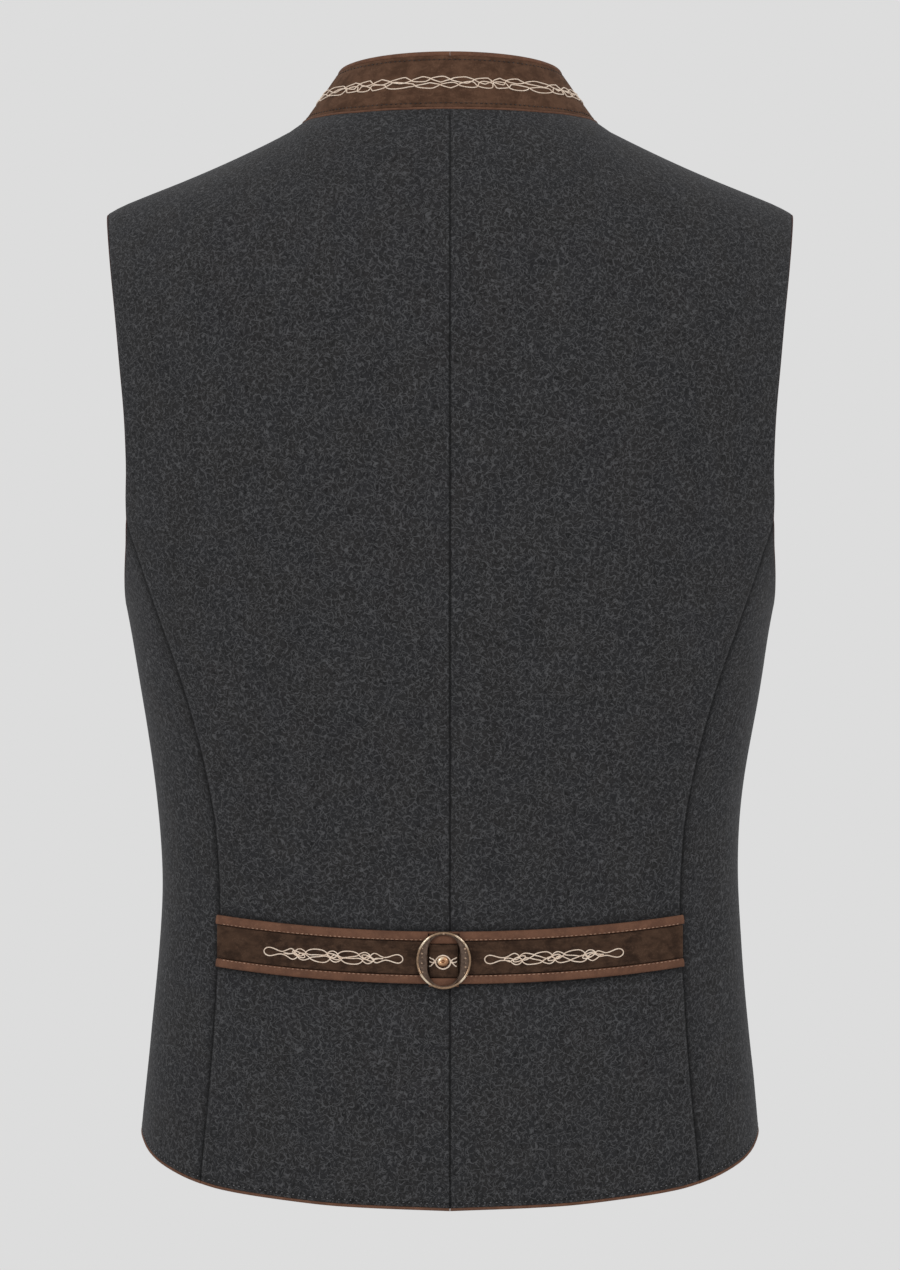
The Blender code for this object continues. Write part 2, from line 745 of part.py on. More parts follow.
def add_buckle(brass, copper):
    base = surface_place(RING_X, RING_Z)
    normal = surface_normal(RING_X, RING_Z)
    across = (Vector((1, 0, 0)) - normal * normal.x).normalized()
    up = normal.cross(across)

    def place(u, v):
        angle = 2 * math.pi * u
        cosine = math.cos(angle)
        sine = math.sin(angle)
        outer = 1 / math.hypot(cosine / RING_HALF_WIDTH, sine / RING_HALF_HEIGHT)
        opening = (abs(cosine / RING_HOLE_HALF_WIDTH) ** RING_HOLE_POWER
                   + abs(sine / RING_HOLE_HALF_HEIGHT) ** RING_HOLE_POWER)
        radius = mix(opening ** (-1 / RING_HOLE_POWER), outer, v)
        x = radius * cosine
        lift = RING_LIFT - RING_SLOPE * (x / RING_HALF_WIDTH) ** 2
        return base + across * x + up * radius * sine + normal * lift

    wall("ring_buckle", brass, place, RING_COLUMNS, 2, inner=0.0, outer=RING_THICKNESS, closed=True)
    top = LAY_GAP + BRIDGE_ARCH + BRIDGE_THICKNESS + SEAM_GAP
    turned("belt_rivet", copper, RIVET_PROFILE, RIVET_COLUMNS, base + normal * top, normal,
           stretch=RIVET_STRETCH)


def front_middle(x, z):
    """Point of the front at a height, beside the centre line."""
    angle = math.pi - x / SECTIONS[-1].front
    rise = rise_of(z) if z <= CHEST_Z else halve(0.0, 1.0, lambda share: skin(angle, share).z < z)
    return skin(angle, rise)


def add_buttons(brass):
    for number in range(BUTTON_COUNT):
        z = BUTTON_TOP_Z - BUTTON_SPACING * number
        normal = outward(front_middle, 0, z, step=0.1)
        seat = front_middle(0, z) + normal * (LAP_LIFT + SEAM_GAP)
        turned("button_" + str(number + 1), brass, BUTTON_PROFILE, BUTTON_COLUMNS, seat, normal)


def main():
    clear_scene()
    collection = bpy.data.collections.new("felt_waistcoat")
    bpy.context.scene.collection.children.link(collection)
    felt = make_material("charcoal_felt", (0.036, 0.036, 0.038), 0.95)
    suede = make_material("brown_suede", (0.062, 0.036, 0.024), 0.95)
    leather = make_material("brown_leather", (0.13, 0.065, 0.038), 0.6)
    brass = make_material("antique_brass", (0.33, 0.2, 0.1), 0.4, 1.0)
    copper = make_material("copper", (0.55, 0.26, 0.14), 0.35, 1.0)
    add_panels(felt)
    add_hem_piping(leather)
    add_armhole_piping(leather)
    add_collar(suede, leather)
    add_belt(suede, leather)
    add_buckle(brass, copper)
    add_buttons(brass)


main()
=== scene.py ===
import math

import bmesh
import bpy
import numpy as np
from mathutils import Matrix, Vector


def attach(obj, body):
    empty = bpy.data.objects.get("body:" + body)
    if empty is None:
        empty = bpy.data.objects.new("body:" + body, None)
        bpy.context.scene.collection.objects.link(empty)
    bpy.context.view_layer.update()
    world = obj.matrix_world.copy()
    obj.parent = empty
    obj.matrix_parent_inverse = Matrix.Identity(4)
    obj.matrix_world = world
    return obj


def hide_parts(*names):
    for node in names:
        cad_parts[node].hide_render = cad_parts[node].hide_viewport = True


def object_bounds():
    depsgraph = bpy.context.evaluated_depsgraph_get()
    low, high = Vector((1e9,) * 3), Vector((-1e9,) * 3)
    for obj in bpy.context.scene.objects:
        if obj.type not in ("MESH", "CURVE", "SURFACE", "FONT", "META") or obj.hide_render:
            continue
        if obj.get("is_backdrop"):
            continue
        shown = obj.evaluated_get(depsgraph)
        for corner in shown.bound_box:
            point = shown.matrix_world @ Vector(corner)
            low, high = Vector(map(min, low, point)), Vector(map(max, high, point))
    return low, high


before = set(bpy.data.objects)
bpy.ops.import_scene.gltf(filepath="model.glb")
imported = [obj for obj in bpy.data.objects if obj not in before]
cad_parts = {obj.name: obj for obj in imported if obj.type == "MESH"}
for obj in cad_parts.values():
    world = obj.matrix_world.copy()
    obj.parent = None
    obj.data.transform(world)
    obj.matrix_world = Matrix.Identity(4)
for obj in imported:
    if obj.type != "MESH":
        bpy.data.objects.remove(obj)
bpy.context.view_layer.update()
print("frame loaded")

# Lengths below are in millimetres, in the frame's axes: Z up, the front towards -Y, the wearer's left at +X.
mm = 0.001
sides = (("Left", 1), ("Right", -1))

# The body's form, as the maker's tables of widths, depths and edges
body = {
    "sections": [(-640, 180.2, 120.0, 124.0), (-586, 179.3, 117.0, 123.5), (-534, 173.7, 111.0, 122.0),
                 (-475, 169.1, 106.0, 120.5), (-431, 167.3, 104.5, 120.0), (-388, 170.2, 107.5, 121.0),
                 (-330, 179.3, 115.0, 125.0), (-280, 188.0, 120.5, 128.0), (-226, 200.5, 123.2, 127.5),
                 (-150, 210.0, 124.0, 124.0)],  # height, half width, depth of the back, depth of the front
    "sectionPower": 2.5,
    "chestZ": -150.0,
    "chestRun": 150.0,
    "crownPower": 2.2,
    "shoulder": [(86.0, 0.0), (93.0, -5.0), (111.0, -14.0), (132.0, -23.6), (154.0, -33.0), (177.0, -42.2),
                 (190.0, -47.5), (198.5, -52.0)],
    "neckCrown": [(0.0, 177.5, 106.8), (30.0, 173.4, 112.0), (60.0, 162.7, 127.5), (75.0, 155.8, 138.8),
                  (86.0, 150.0, 150.0)],
    "neckHalfWidth": 86.0,
    "neckBack": 70.0,
    "neckFront": 88.0,
    "backEdge": [(-640, 142.5), (-606, 141.0), (-550, 136.0), (-505, 132.9), (-450, 130.6), (-425, 131.5),
                 (-400, 133.8), (-363, 141.2), (-326, 151.6), (-294, 163.0), (-272, 171.0), (-249, 178.9),
                 (-231, 184.4), (-200, 184.3), (-172, 185.3), (-143, 188.0), (-114, 191.0), (-85, 194.6),
                 (-52, 198.5)],
    "frontEdge": [(-240, 183.0), (-231, 182.4), (-216, 178.8), (-200, 174.8), (-170, 171.8), (-140, 172.4),
                  (-110, 177.2), (-85, 185.0), (-65, 193.5), (-52, 198.5)],
    "hem": [(0, -618.0), (28, -615.7), (41, -612.8), (54, -608.6), (61, -604.4), (66.5, -600.0),
            (71.5, -595.7), (76, -591.3), (81, -586.2), (90, -582.2), (104, -582.0), (130, -589.0),
            (160, -599.0), (195, -604.0)],
    "armholeTop": -231.0,
    "armholeDepth": 50.0,
    "armholeMiddleY": -5.0,
    "armholeFrontY": -67.0,
    "armholeCurve": (1.2, 0.33),  # how soon the lower half of the armhole turns inwards
    "sideSeam": math.radians(98),
    "seamAngle": 0.0012,
    "corner": 8 / 15,  # the neck point, as a share of a panel's upper edge
    "backRows": (13 / 23, 16 / 23),
    "frontRows": (9 / 20, 13 / 20),
    "lap": 18.0,
    "lapAngle": 0.15,
    "neckEnd": 1.004,      # a panel's upper edge, as a share of the way to the neckline or shoulder seam
    "shoulderEnd": 1.0003,
    "centreGap": 0.15,     # half of the gap in the centre back seam
    "seamFoot": -604.4,    # where the curved back seams end at the hem
    "lapRaise": (2.5, 46.0, 24.0),  # height of the lap, where it begins and the width over which it rises
}
chestZ = body["chestZ"]


def pair(first, second):
    return np.broadcast_arrays(np.asarray(first, float), np.asarray(second, float))


def mixed(first, second, share):
    return first + (second - first) * share


def softStep(share):
    share = np.clip(share, 0.0, 1.0)
    return share * share * (3 - 2 * share)


def unit(vectors):
    return vectors / np.maximum(np.linalg.norm(vectors, axis=-1, keepdims=True), 1e-9)


def readTable(rows, at, column=1, startSlope=None, endSlope=None):
    table = np.array(rows, float)
    knots, values = table[:, 0], table[:, column]
    slopes = np.gradient(values, knots)
    slopes[1:-1] = (values[2:] - values[:-2]) / (knots[2:] - knots[:-2])
    slopes[0] = slopes[0] if startSlope is None else startSlope
    slopes[-1] = slopes[-1] if endSlope is None else endSlope
    at = np.asarray(at, float)
    index = np.clip(np.searchsorted(knots, at) - 1, 0, len(knots) - 2)
    span = knots[index + 1] - knots[index]
    t = (at - knots[index]) / span
    start = values[index] * (1 + 2 * t) * (1 - t) ** 2 + slopes[index] * span * t * (1 - t) ** 2
    end = values[index + 1] * t * t * (3 - 2 * t) - slopes[index + 1] * span * t * t * (1 - t)
    return start + end


def sectionSizes(z, front):
    halfWidth = readTable(body["sections"], z, 1, endSlope=0)
    back = readTable(body["sections"], z, 2, endSlope=0)
    ahead = readTable(body["sections"], z, 3, endSlope=0)
    return halfWidth, np.where(front, ahead, back)


def sectionPoint(angle, z):
    power = body["sectionPower"]
    halfWidth, depth = sectionSizes(z, np.cos(angle) < 0)
    reach = ((abs(np.sin(angle)) / halfWidth) ** power + (abs(np.cos(angle)) / depth) ** power) ** (-1 / power)
    return np.stack(np.broadcast_arrays(reach * np.sin(angle), reach * np.cos(angle), z), -1)


def angleAtX(x, z, front=False):
    power = body["sectionPower"]
    halfWidth, depth = sectionSizes(z, front)
    share = np.clip(1 - (abs(x) / halfWidth) ** power, 0, 1)
    angle = np.arctan2(x, depth * share ** (1 / power))
    return math.pi - angle if front else angle


def angleAtY(y, z):
    power = body["sectionPower"]
    halfWidth, depth = sectionSizes(z, y < 0)
    return np.arctan2(halfWidth * (1 - (abs(y) / depth) ** power) ** (1 / power), y)


def crownHeight(x, front):
    shoulder = body["shoulder"]
    slope = (shoulder[1][1] - shoulder[0][1]) / (shoulder[1][0] - shoulder[0][0])
    across = abs(x)
    behind = readTable(body["neckCrown"], across, 1, startSlope=0, endSlope=slope)
    ahead = readTable(body["neckCrown"], across, 2, startSlope=0, endSlope=slope)
    outside = readTable(shoulder, across) - chestZ
    return np.where(across >= body["neckHalfWidth"], outside, np.where(front, ahead, behind))


def necklineY(x, front):
    depth = np.where(front, body["neckFront"], body["neckBack"])
    return depth * np.sqrt(np.maximum(1 - (x / body["neckHalfWidth"]) ** 2, 0))


# Height of the section below the shoulders' fold that a rise belongs to
def heightOf(rise):
    return chestZ + np.minimum(rise, 0) * body["chestRun"]


def skin(angle, rise):
    angle, rise = pair(angle, rise)
    power = body["crownPower"]
    low = heightOf(rise)
    point = sectionPoint(angle, low)
    x, y = point[..., 0], point[..., 1]
    front = np.cos(angle) < 0
    share = np.clip(necklineY(x, front) / np.maximum(abs(y), 0.001), 0, 1)
    turn = np.maximum(rise, 0) * np.arccos(share ** (power / 2))
    inward = np.copysign(abs(np.cos(turn)) ** (2 / power), np.cos(turn))
    upward = np.sin(turn) ** (2 / power)
    above = rise > 0
    return np.stack([x, np.where(above, y * inward, y),
                     np.where(above, low + crownHeight(x, front) * upward, low)], -1)


def riseOf(z):
    return (z - chestZ) / body["chestRun"]


def hemRise(angle):
    return riseOf(readTable(body["hem"], np.degrees(angle)))


def edgeAngle(edge, rise, front=False):
    rise = np.asarray(rise, float)
    z = heightOf(rise)
    below = angleAtX(readTable(edge, z), z, front)
    x = np.full(rise.shape, float(edge[-1][1]))
    for _ in range(6):
        height = skin(angleAtX(x, chestZ, front), np.maximum(rise, 0))[..., 2]
        x = readTable(edge, np.minimum(height, edge[-1][0]))
    return np.where(rise <= 0, below, angleAtX(x, chestZ, front))


def topX(share, innerX, outerX):
    half, corner = body["neckHalfWidth"], body["corner"]
    first = math.asin(innerX / half)
    neck = half * np.sin(mixed(first, math.pi / 2, np.minimum(share / corner, 1)))
    return np.where(share < corner, neck, mixed(half, outerX, (share - corner) / (1 - corner)))


def endRise(u):
    return np.where(u <= body["corner"], body["neckEnd"], body["shoulderEnd"])


def backPlace(u, v):
    u, v = pair(u, v)
    low, high = body["backRows"]
    top = riseOf(body["armholeTop"])
    hemAngle = u * edgeAngle(body["backEdge"], riseOf(body["seamFoot"]))
    rise = np.where(v <= low, mixed(hemRise(hemAngle), top, v / low), mixed(top, 0, (v - low) / (high - low)))
    rise = np.where(v > high, endRise(u) * (v - high) / (1 - high), rise)
    outer = edgeAngle(body["backEdge"], rise) - body["seamAngle"]
    angle = mixed(body["seamAngle"], outer, u)
    x = topX(u, body["centreGap"], body["shoulder"][-1][0])
    upper = mixed(angle, np.minimum(angleAtX(x, chestZ), outer), softStep(rise))
    return skin(np.where(rise > 0, upper, angle), rise)


def armholeOval(turn):
    top = body["armholeTop"]
    z = top - body["armholeDepth"] * np.sin(turn)
    backY = sectionPoint(edgeAngle(body["backEdge"], riseOf(top)), top)[..., 1]
    endY = np.where(np.cos(turn) > 0, backY, body["armholeFrontY"])
    power, lean = body["armholeCurve"]
    share = abs(np.cos(turn)) ** power - lean * np.sin(turn) * np.cos(turn) ** 2
    return angleAtY(mixed(body["armholeMiddleY"], endY, share), z), riseOf(z)


# The place between low and high up to which isLow holds
def halved(low, high, isLow):
    for _ in range(30):
        middle = (low + high) / 2
        under = isLow(middle)
        low, high = np.where(under, middle, low), np.where(under, high, middle)
    return low


sideTurn = float(halved(math.pi / 2, math.pi, lambda turn: armholeOval(turn)[0] < body["sideSeam"]))


def sidePlace(u, v):
    u, v = pair(u, v)
    topAngle, riseEnd = armholeOval(u * sideTurn)
    top = riseOf(body["armholeTop"])
    backAngle = edgeAngle(body["backEdge"], top)
    share = (topAngle - backAngle) / (body["sideSeam"] - backAngle)
    lowAngle = mixed(edgeAngle(body["backEdge"], riseOf(body["seamFoot"])), body["sideSeam"], share)
    rise = mixed(hemRise(lowAngle), riseEnd, v)
    back = edgeAngle(body["backEdge"], np.minimum(rise, top)) + body["seamAngle"]
    return skin(mixed(back, body["sideSeam"] - body["seamAngle"], share), rise)


def frontPlace(u, v):
    u, v = pair(u, v)
    low, high = body["frontRows"]
    turnRise = armholeOval(sideTurn)[1]
    top = riseOf(body["armholeTop"])
    start = hemRise(mixed(math.pi + body["lapAngle"], body["sideSeam"], u))
    middle = np.clip((v - low) / (high - low), 0, 1)
    ovalAngle, ovalRise = armholeOval(mixed(sideTurn, math.pi, middle))
    upper = mixed(top, endRise(u), (v - high) / (1 - high))
    rise = np.where(v <= low, mixed(start, turnRise, v / low),
                    np.where(v <= high, mixed(mixed(turnRise, top, middle), ovalRise, u), upper))
    outer = np.where(v <= low, body["sideSeam"],
                     np.where(v <= high, ovalAngle, edgeAngle(body["frontEdge"], upper, True)))
    outer = outer + body["seamAngle"]
    inner = angleAtX(-body["lap"], heightOf(rise), True)
    angle = mixed(inner, outer, u)
    x = topX(u, -body["lap"], body["shoulder"][-1][0])
    over = mixed(angle, np.maximum(angleAtX(x, chestZ, True), outer), softStep(rise))
    return skin(np.where(rise > 0, over, angle), rise)


def lapLift(point):
    height, begin, width = body["lapRaise"]
    return height * softStep((begin - point[..., 0]) / width)


def backSurface(x, z):
    x, z = pair(x, z)
    return sectionPoint(angleAtX(x, z), z)


# Outward normal at any place of a surface
def placed(place, u, v, step=0.0005):
    u, v = pair(u, v)
    point = place(u, v)
    across = place(u + step, v) - place(u - step, v)
    along = place(u, v + step) - place(u, v - step)
    normal = unit(np.cross(along, across))
    away = point * 1.0
    away[..., 2] = np.maximum(point[..., 2] - chestZ, 0)
    return point, normal * np.where(np.sum(normal * away, -1) > 0, 1.0, -1.0)[..., None]


# Shader maths: a wire is a socket that can stand in sums and products
class Wire:
    def __init__(self, finish, socket):
        self.finish = finish
        self.socket = socket

    def reckon(self, operation, first, second):
        return self.finish.make("ShaderNodeMath", {"operation": operation}, {0: first, 1: second})

    def __add__(self, other):
        return self.reckon("ADD", self, other)

    def __radd__(self, other):
        return self.reckon("ADD", other, self)

    def __sub__(self, other):
        return self.reckon("SUBTRACT", self, other)

    def __rsub__(self, other):
        return self.reckon("SUBTRACT", other, self)

    def __mul__(self, other):
        return self.reckon("MULTIPLY", self, other)

    def __abs__(self):
        return self.finish.make("ShaderNodeMath", {"operation": "ABSOLUTE"}, {0: self})


class Finish:
    def __init__(self, name, settings):
        self.material = bpy.data.materials.new(name)
        self.material.use_nodes = True
        self.tree = self.material.node_tree
        self.shader = self.tree.nodes["Principled BSDF"]
        for socket, value in settings.items():
            self.shader.inputs[socket].default_value = value
        self.place = self.make("ShaderNodeTexCoord", output="Object")

    def make(self, kind, settings={}, inputs={}, output=0):
        node = self.tree.nodes.new(kind)
        for name, value in settings.items():
            setattr(node, name, value)
        for name, value in inputs.items():
            self.feed(node.inputs[name], value)
        return Wire(self, node.outputs[output])

    def feed(self, socket, value):
        if isinstance(value, Wire):
            self.tree.links.new(value.socket, socket)
        else:
            socket.default_value = value

    def noise(self, scale, detail=2.0, roughness=0.5, distortion=0.0, place=None):
        return self.make("ShaderNodeTexNoise", {}, {"Vector": place or self.place, "Scale": scale,
                         "Detail": detail, "Roughness": roughness, "Distortion": distortion})

    def shifted(self, offset, scale=(1, 1, 1)):
        return self.make("ShaderNodeMapping", {}, {"Vector": self.place, "Location": offset, "Scale": scale})

    def between(self, value, low, high):
        return self.make("ShaderNodeMapRange", {"interpolation_type": "SMOOTHSTEP"},
                         {"Value": value, "From Min": low, "From Max": high})

    def blend(self, share, first, second, mode="MIX"):
        return self.make("ShaderNodeMix", {"data_type": "RGBA", "blend_type": mode},
                         {0: share, 6: first, 7: second}, output=2)

    def bump(self, height, strength, distance):
        return self.make("ShaderNodeBump", {}, {"Height": height, "Strength": strength,
                         "Distance": distance * mm})

    def coordinates(self):
        split = self.make("ShaderNodeSeparateXYZ", {}, {"Vector": self.place})
        return [Wire(self, socket) for socket in split.socket.node.outputs]

    def root(self, value):
        return self.make("ShaderNodeMath", {"operation": "SQRT"}, {0: value})

    def finish(self, color=None, roughness=None, normal=None):
        for name, value in (("Base Color", color), ("Roughness", roughness), ("Normal", normal)):
            if value is not None:
                self.feed(self.shader.inputs[name], value)
        return self.material


def shade(red, green, blue):
    return (red, green, blue, 1.0)


felt = {
    "dark": shade(0.0208, 0.0207, 0.0216),
    "light": shade(0.0294, 0.0291, 0.0301),
    "fibre": shade(0.088, 0.0885, 0.0925),
    "hollow": shade(0.0095, 0.0095, 0.01),
    # scale, offset and strength of each set of fibres
    "curls": [(165.0, 0.0, 0.76), (210.0, 3.1, 0.72), (265.0, 7.7, 0.62), (320.0, 5.9, 0.6)],
    "shadows": [(190.0, 5.3, 0.8), (280.0, 1.7, 0.65)],
    "lineWidth": 0.3,          # half width of a fibre
    "swirl": 270.0,
    "bend": 4.0,               # how far the fibres curl
    "broken": (1.6, 0.47, 0.56),  # scale and levels of the noise that breaks them
    "cloud": 55.0, "speck": 800.0, "tint": 38.0,
}


def feltFinish():
    f = Finish("charcoal_felt_melange", {"Roughness": 0.95, "Sheen Weight": 0.1, "Sheen Roughness": 0.45,
                                         "Sheen Tint": shade(0.55, 0.55, 0.57), "Specular IOR Level": 0.2})
    # the pattern lies flat in the cloth, by each panel's own lengths
    flat = f.make("ShaderNodeAttribute", {"attribute_name": "cloth"}, output=1)

    def moved(place, shift):
        return f.make("ShaderNodeVectorMath", {"operation": "ADD"}, {0: place, 1: (shift, shift * 0.37, 0)})

    def flatNoise(scale, detail=0.0, shift=0.0, output=0):
        return f.make("ShaderNodeTexNoise", {"noise_dimensions": "2D"}, {"Vector": moved(flat, shift),
                      "Scale": scale, "Detail": detail, "Roughness": 0.6}, output)

    swirl = flatNoise(felt["swirl"], 0.0, 0.5, output=1)
    reach = felt["bend"] * mm
    mask, low, high = felt["broken"]

    def curled(color, sets, fibre):
        # thin bent lines of even width, broken into short fibres
        for scale, offset, strength in sets:
            bent = f.make("ShaderNodeVectorMath", {"operation": "MULTIPLY_ADD"},
                          {0: swirl, 1: (reach, reach, 0), 2: flat})
            cells = f.make("ShaderNodeTexVoronoi", {"feature": "DISTANCE_TO_EDGE", "voronoi_dimensions": "2D"},
                           {"Vector": moved(bent, offset), "Scale": scale})
            width = felt["lineWidth"] * mm * scale
            thin = 1 - f.between(cells, width * 0.2, width)
            broken = f.between(flatNoise(scale * mask, 0.0, -offset), low, high)
            color = f.blend(thin * broken * strength, color, fibre)
        return color

    cloud = flatNoise(felt["cloud"], 2.0, 1.3)
    speck = flatNoise(felt["speck"], 1.0, 2.9)
    color = f.blend(f.between(cloud * 0.4 + speck * 0.6, 0.35, 0.7), felt["dark"], felt["light"])
    patches = f.between(flatNoise(felt["tint"], 1.0, 4.1), 0.35, 0.65)
    tint = f.blend(patches, shade(1.02, 1.0, 0.99), shade(0.985, 0.995, 1.03))
    color = f.blend(1.0, color, tint, "MULTIPLY")
    color = curled(color, felt["shadows"], felt["hollow"])
    color = curled(color, felt["curls"], felt["fibre"])
    # the seam value paints shade beside the seams, the belt and the hem's groove, and paints a highlight along
    # raised seam edges where it is negative
    seam = f.make("ShaderNodeAttribute", {"attribute_name": "seam"}, output=2)
    color = f.blend(seam, color, felt["hollow"])
    color = f.blend(seam * -1.0, color, felt["fibre"])
    return f.finish(color, None, f.bump(speck, 0.35, 0.3))


suedes = {
    "collar": {"color": shade(0.109, 0.056, 0.034), "worn": shade(0.16, 0.089, 0.056),
               "deep": shade(0.066, 0.0335, 0.02)},
    "belt": {"color": shade(0.062, 0.034, 0.0212), "worn": shade(0.105, 0.061, 0.04),
             "deep": shade(0.028, 0.0152, 0.0098)},
}


def suedeFinish(name, colors):
    f = Finish(name, {"Roughness": 0.95, "Sheen Weight": 0.1, "Sheen Roughness": 0.5,
                      "Sheen Tint": shade(0.6, 0.38, 0.26), "Specular IOR Level": 0.15})
    cloud = f.noise(85.0, 4.0, 0.65, 0.6)
    nap = f.noise(1300.0, 2.0, 0.6)
    brushed = f.noise(330.0, 2.0, 0.6, 0.4, f.shifted((1, 2, 3), (0.5, 0.5, 1.0)))
    color = f.blend(f.between(cloud * 0.65 + brushed * 0.35, 0.36, 0.6), colors["deep"], colors["color"])
    color = f.blend(f.between(nap * 0.6 + brushed * 0.4, 0.48, 0.78) * 0.8, color, colors["worn"])
    # painted shade in the stitch grooves, from each point's seam value
    seam = f.make("ShaderNodeAttribute", {"attribute_name": "seam"}, output=2)
    color = f.blend(seam, color, shade(0.012, 0.006, 0.004))
    return f.finish(color, None, f.bump(nap + brushed * 0.6, 0.4, 0.25))


leather = {"color": shade(0.168, 0.078, 0.0455), "worn": shade(0.23, 0.12, 0.076),
           "crease": shade(0.078, 0.034, 0.02)}


def leatherFinish(name, colors):
    f = Finish(name, {"Roughness": 0.62, "Specular IOR Level": 0.2})
    cells = f.make("ShaderNodeTexVoronoi", {"feature": "DISTANCE_TO_EDGE"},
                   {"Vector": f.place, "Scale": 1150.0})
    grain = f.between(cells, 0.0, 0.12)
    cloud = f.noise(120.0, 3.0, 0.6)
    rub = f.noise(420.0, 3.0, 0.7)
    color = f.blend(f.between(cloud, 0.35, 0.65) * 0.5, colors["color"], colors["crease"])
    color = f.blend(f.between(rub, 0.5, 0.75) * 0.55, color, colors["worn"])
    color = f.blend((1 - grain) * 0.35, color, colors["crease"])
    return f.finish(color, 0.58 + f.between(rub, 0.3, 0.7) * 0.22, f.bump(grain * 0.5 + rub, 0.3, 0.2))


def metalFinish(name, bright, dark, roughness, wear, relief=0.25, rub=None):
    f = Finish(name, {"Roughness": roughness, "Metallic": 1.0})
    patina = f.noise(650.0, 4.0, 0.65, 0.4)
    scratch = f.noise(2600.0, 2.0, 0.6, 0.0, f.shifted((4, 1, 2), (1, 1, 0.2)))
    color = f.blend(f.between(patina, wear - 0.14, wear + 0.12), dark, bright)
    # rub, where given, paints highlights and shade into the colour
    if rub is not None:
        color = rub(f, color)
    return f.finish(color, roughness + f.between(scratch, 0.3, 0.7) * 0.15,
                    f.bump(patina * 0.6 + scratch * 0.3, relief, 0.08))


# Steps sideways and upwards from a point on the belt, in millimetres
def stepsFrom(f, point):
    x, y, z = f.coordinates()
    return x * 1000.0 - float(point[0]), z * 1000.0 - float(point[2])


thread = {"color": shade(0.96, 0.81, 0.67), "shadow": shade(0.7, 0.53, 0.4)}


def threadFinish(name, colors):
    f = Finish(name, {"Roughness": 0.75, "Sheen Weight": 0.25, "Sheen Roughness": 0.4})
    twist = f.noise(1500.0, 2.0, 0.6, 0.5)
    dull = f.noise(160.0, 2.0)
    color = f.blend(f.between(twist * 0.7 + dull * 0.3, 0.35, 0.65), colors["shadow"], colors["color"])
    return f.finish(color, None, f.bump(twist, 0.5, 0.12))


finishes = {
    "felt": feltFinish(),
    "collarSuede": suedeFinish("collar_suede_nap", suedes["collar"]),
    "beltSuede": suedeFinish("belt_suede_nap", suedes["belt"]),
    "leather": leatherFinish("brown_leather_grain", leather),
    "redLeather": leatherFinish("brown_leather_deep", {"color": shade(0.07, 0.022, 0.017),
                                "worn": shade(0.11, 0.045, 0.035), "crease": shade(0.03, 0.01, 0.008)}),
    "wing": metalFinish("antique_brass_dark", shade(0.14, 0.098, 0.076), shade(0.095, 0.066, 0.051), 0.4, 0.5),
    "bead": metalFinish("antique_brass_worn", shade(0.5, 0.36, 0.26), shade(0.14, 0.095, 0.07), 0.3, 0.46),
    "brass": metalFinish("antique_brass_patina", shade(0.26, 0.185, 0.135), shade(0.115, 0.08, 0.06),
                         0.42, 0.52),
    "thread": threadFinish("cream_thread_twist", thread),
    "darkThread": threadFinish("brown_thread_twist", {"color": shade(0.03, 0.016, 0.011),
                               "shadow": shade(0.011, 0.006, 0.005)}),
    "tanThread": threadFinish("tan_thread_twist", {"color": shade(0.5, 0.29, 0.19),
                              "shadow": shade(0.19, 0.095, 0.06)}),
    "greyThread": threadFinish("grey_thread_twist", {"color": shade(0.17, 0.17, 0.178),
                               "shadow": shade(0.06, 0.06, 0.063)}),
}
print("finishes made")


def meshOf(name, bm):
    mesh = bpy.data.meshes.new(name)
    bm.to_mesh(mesh)
    bm.free()
    return mesh


def newObject(name, data):
    made = bpy.data.objects.new(name, data)
    bpy.context.scene.collection.objects.link(made)
    return made


# Every piece ends here: a mesh with its place in it, riding on the frame
def addPiece(name, bm, finish, nodes=(), modifiers=(), mergeAt=0.02, recalc=True):
    bmesh.ops.remove_doubles(bm, verts=bm.verts, dist=mergeAt * mm)
    if recalc:
        bmesh.ops.recalc_face_normals(bm, faces=bm.faces)
    for face in bm.faces:
        face.smooth = True
    mesh = meshOf(name, bm)
    mesh.materials.append(finishes[finish])
    piece = newObject(name, mesh)
    for kind, settings in modifiers:
        modifier = piece.modifiers.new(kind.title(), kind)
        for key, value in settings.items():
            setattr(modifier, key, value)
    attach(piece, "root")
    if nodes:
        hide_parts(*nodes)
    return piece


# A grid of points made a sheet of faces; side -1 is the mirror image. Its seam values are painted shade beside its
# seams and painted highlight where they are negative, and flat gives each point's place in the flat cloth.
def gridShape(points, side=1, paintedShading=None, flat=None):
    bm = bmesh.new()
    layers = []
    if paintedShading is not None:
        layers.append((bm.verts.layers.float.new("seam"), paintedShading))
    if flat is not None:
        layers.append((bm.verts.layers.float_vector.new("cloth"), flat))
    columns, rows = points.shape[0] - 1, points.shape[1] - 1
    made = bmesh.ops.create_grid(bm, x_segments=columns, y_segments=rows, size=1)["verts"]
    for vert in made:
        column = round((vert.co.x + 1) / 2 * columns)
        row = round((vert.co.y + 1) / 2 * rows)
        x, y, z = points[column, row] * mm
        vert.co = (x * side, y, z)
        for layer, values in layers:
            value = values[column, row]
            vert[layer] = float(value) if value.ndim == 0 else Vector(value)
    return bm


def capEnds(bm):
    bmesh.ops.remove_doubles(bm, verts=bm.verts, dist=0.01 * mm)
    rim = [edge for edge in bm.edges if edge.is_boundary]
    if rim:
        bmesh.ops.holes_fill(bm, edges=rim, sides=0)


# Turns an open sheet so that it looks away from the garment's middle at a height
def facesOutward(bm, height):
    middle = Vector((0, 0, float(height) * mm))
    bmesh.ops.recalc_face_normals(bm, faces=bm.faces)
    bm.normal_update()
    total = sum((face.calc_center_median() - middle).dot(face.normal) * face.calc_area() for face in bm.faces)
    if total < 0:
        bmesh.ops.reverse_faces(bm, faces=bm.faces)


